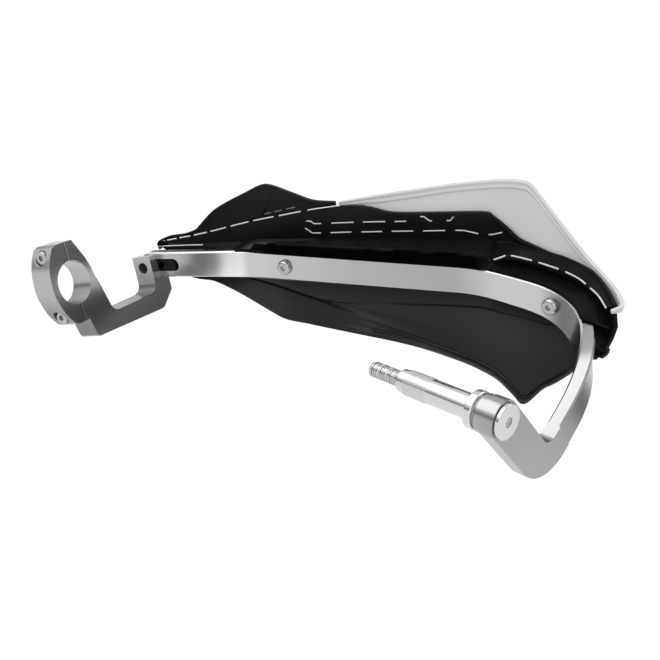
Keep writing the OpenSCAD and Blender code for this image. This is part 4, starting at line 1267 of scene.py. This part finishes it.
def makeRecessSlots(tree):
    lowRun, lowHeight = wing["recess"][1][:2]
    farRun, farHeight = wing["recess"][2][:2]

    def place(s):
        z = lowHeight + (farHeight - lowHeight) * (s - lowRun) / (farRun - lowRun)
        return onSurface(tree, s, z + wing["recessSlotLift"])

    lines = [[place(s) for s in (a, (a + b) / 2.0, b)] for a, b in wing["recessSlots"]]
    beadPiece("recessSlots", lines, slots["radius"], "slotDim")


def makeLipSlots():
    lipRuns = runsOf("flangeInner", slots["lipSteps"])
    lipLine = lineOf("flangeInner", slots["lipSteps"])

    def place(s):
        onLip = np.array([np.interp(s, lipRuns, lipLine[:, k]) for k in range(3)])
        return onLip - slots["lipRear"] * levelNormal(s)

    lines = []
    for a, b in slots["lip"]:
        lines.append([place(s) for s in np.linspace(a, min(b, lipRuns[-1]), slots["lipPoints"])])
    beadPiece("lipSlots", lines, slots["lipRadius"], "slotLight")


def makeSlots():
    graph = bpy.context.evaluated_depsgraph_get()
    makeWallSlots(BVHTree.FromObject(shellPiece, graph))
    makeWingSlots()
    makeRecessSlots(BVHTree.FromObject(wingPiece, graph))
    makeLipSlots()


makeSlots()

thread = {
    "pitch": 1.4,
    "start": -65.6,
    "length": 19.6,
    "radius": 3.95,
    "ridge": 0.48,
    "ridgeSides": 4,
    "turnSteps": 28,
    "sharpAngle": 40.0,
}
rings = {
    "count": 13,
    "spacing": 1.15,
    "start": -40.0,
    "radius": 6.62,
    "ridge": 0.36,
    "ridgeSides": 6,
    "sides": 48,
}
ontoPlug = (0.0, math.radians(90.0), 0.0)  # lays what is made around Z along the plug's axis


def makeThread():
    tree, given, out = newTree("threadTree", "Turns", "Radius", "Length", "Ridge", Start="Vector")
    coil = tree.add("CurveSpiral", {"Resolution": thread["turnSteps"]})
    sweep = roundSweep(tree, coil, given, "Ridge", thread["ridgeSides"])
    move = tree.add("Transform", {"Rotation": ontoPlug})
    tree.join(
        (given, "Turns", coil, "Rotations"),
        (given, "Radius", coil, "Start Radius"),
        (given, "Radius", coil, "End Radius"),
        (given, "Length", coil, "Height"),
        (sweep, 0, move, "Geometry"),
        (given, "Start", move, "Translation"),
    )
    endTree(tree, move, out, finishes["thread"])
    piece = objectOf("studThread", bpy.data.meshes.new("studThread"))
    sizes = {key.title(): thread[key] * mm for key in ("radius", "length", "ridge")}
    place = (thread["start"] * mm, 0.0, 0.0)
    runTree(piece, tree, Turns=thread["length"] / thread["pitch"], Start=place, **sizes)
    piece.data.set_sharp_from_angle(angle=math.radians(thread["sharpAngle"]))
    dress(piece, "thread", "plug_metal")


def makeRings():
    tree, given, out = newTree("ringTree", "Spacing", "Radius", "Ridge", "Start", Count="Int")
    line = tree.add("MeshLine")
    first = tree.add("ShaderNodeCombineXYZ")
    step = tree.add("ShaderNodeCombineXYZ")
    ring = tree.add("CurvePrimitiveCircle", {"Resolution": rings["sides"]})
    sweep = roundSweep(tree, ring, given, "Ridge", rings["ridgeSides"])
    turn = tree.add("Transform", {"Rotation": ontoPlug})
    spread = tree.add("InstanceOnPoints")
    tree.join(
        (given, "Count", line, "Count"),
        (given, "Start", first, "X"),
        (given, "Spacing", step, "X"),
        (first, 0, line, "Start Location"),
        (step, 0, line, "Offset"),
        (given, "Radius", ring, "Radius"),
        (sweep, 0, turn, "Geometry"),
        (line, 0, spread, "Points"),
        (turn, 0, spread, "Instance"),
    )
    endTree(tree, spread, out, finishes["plug"])
    piece = objectOf("sleeveRings", bpy.data.meshes.new("sleeveRings"))
    sizes = {key.title(): rings[key] * mm for key in ("spacing", "radius", "ridge", "start")}
    runTree(piece, tree, Count=rings["count"], **sizes)
    dress(piece, "plug", "plug_metal")


makeThread()
makeRings()


def dressSmallNodes():
    for name, node in nodes.items():
        if "_insert_" in name:
            finishName = "brass"
        elif name.startswith(("wing_screw", "deflector_screw")):
            finishName = "darkFastener"
        else:
            continue
        node.data.materials.clear()
        node.data.materials.append(finishes[finishName])


dressSmallNodes()

print("stage: finish")
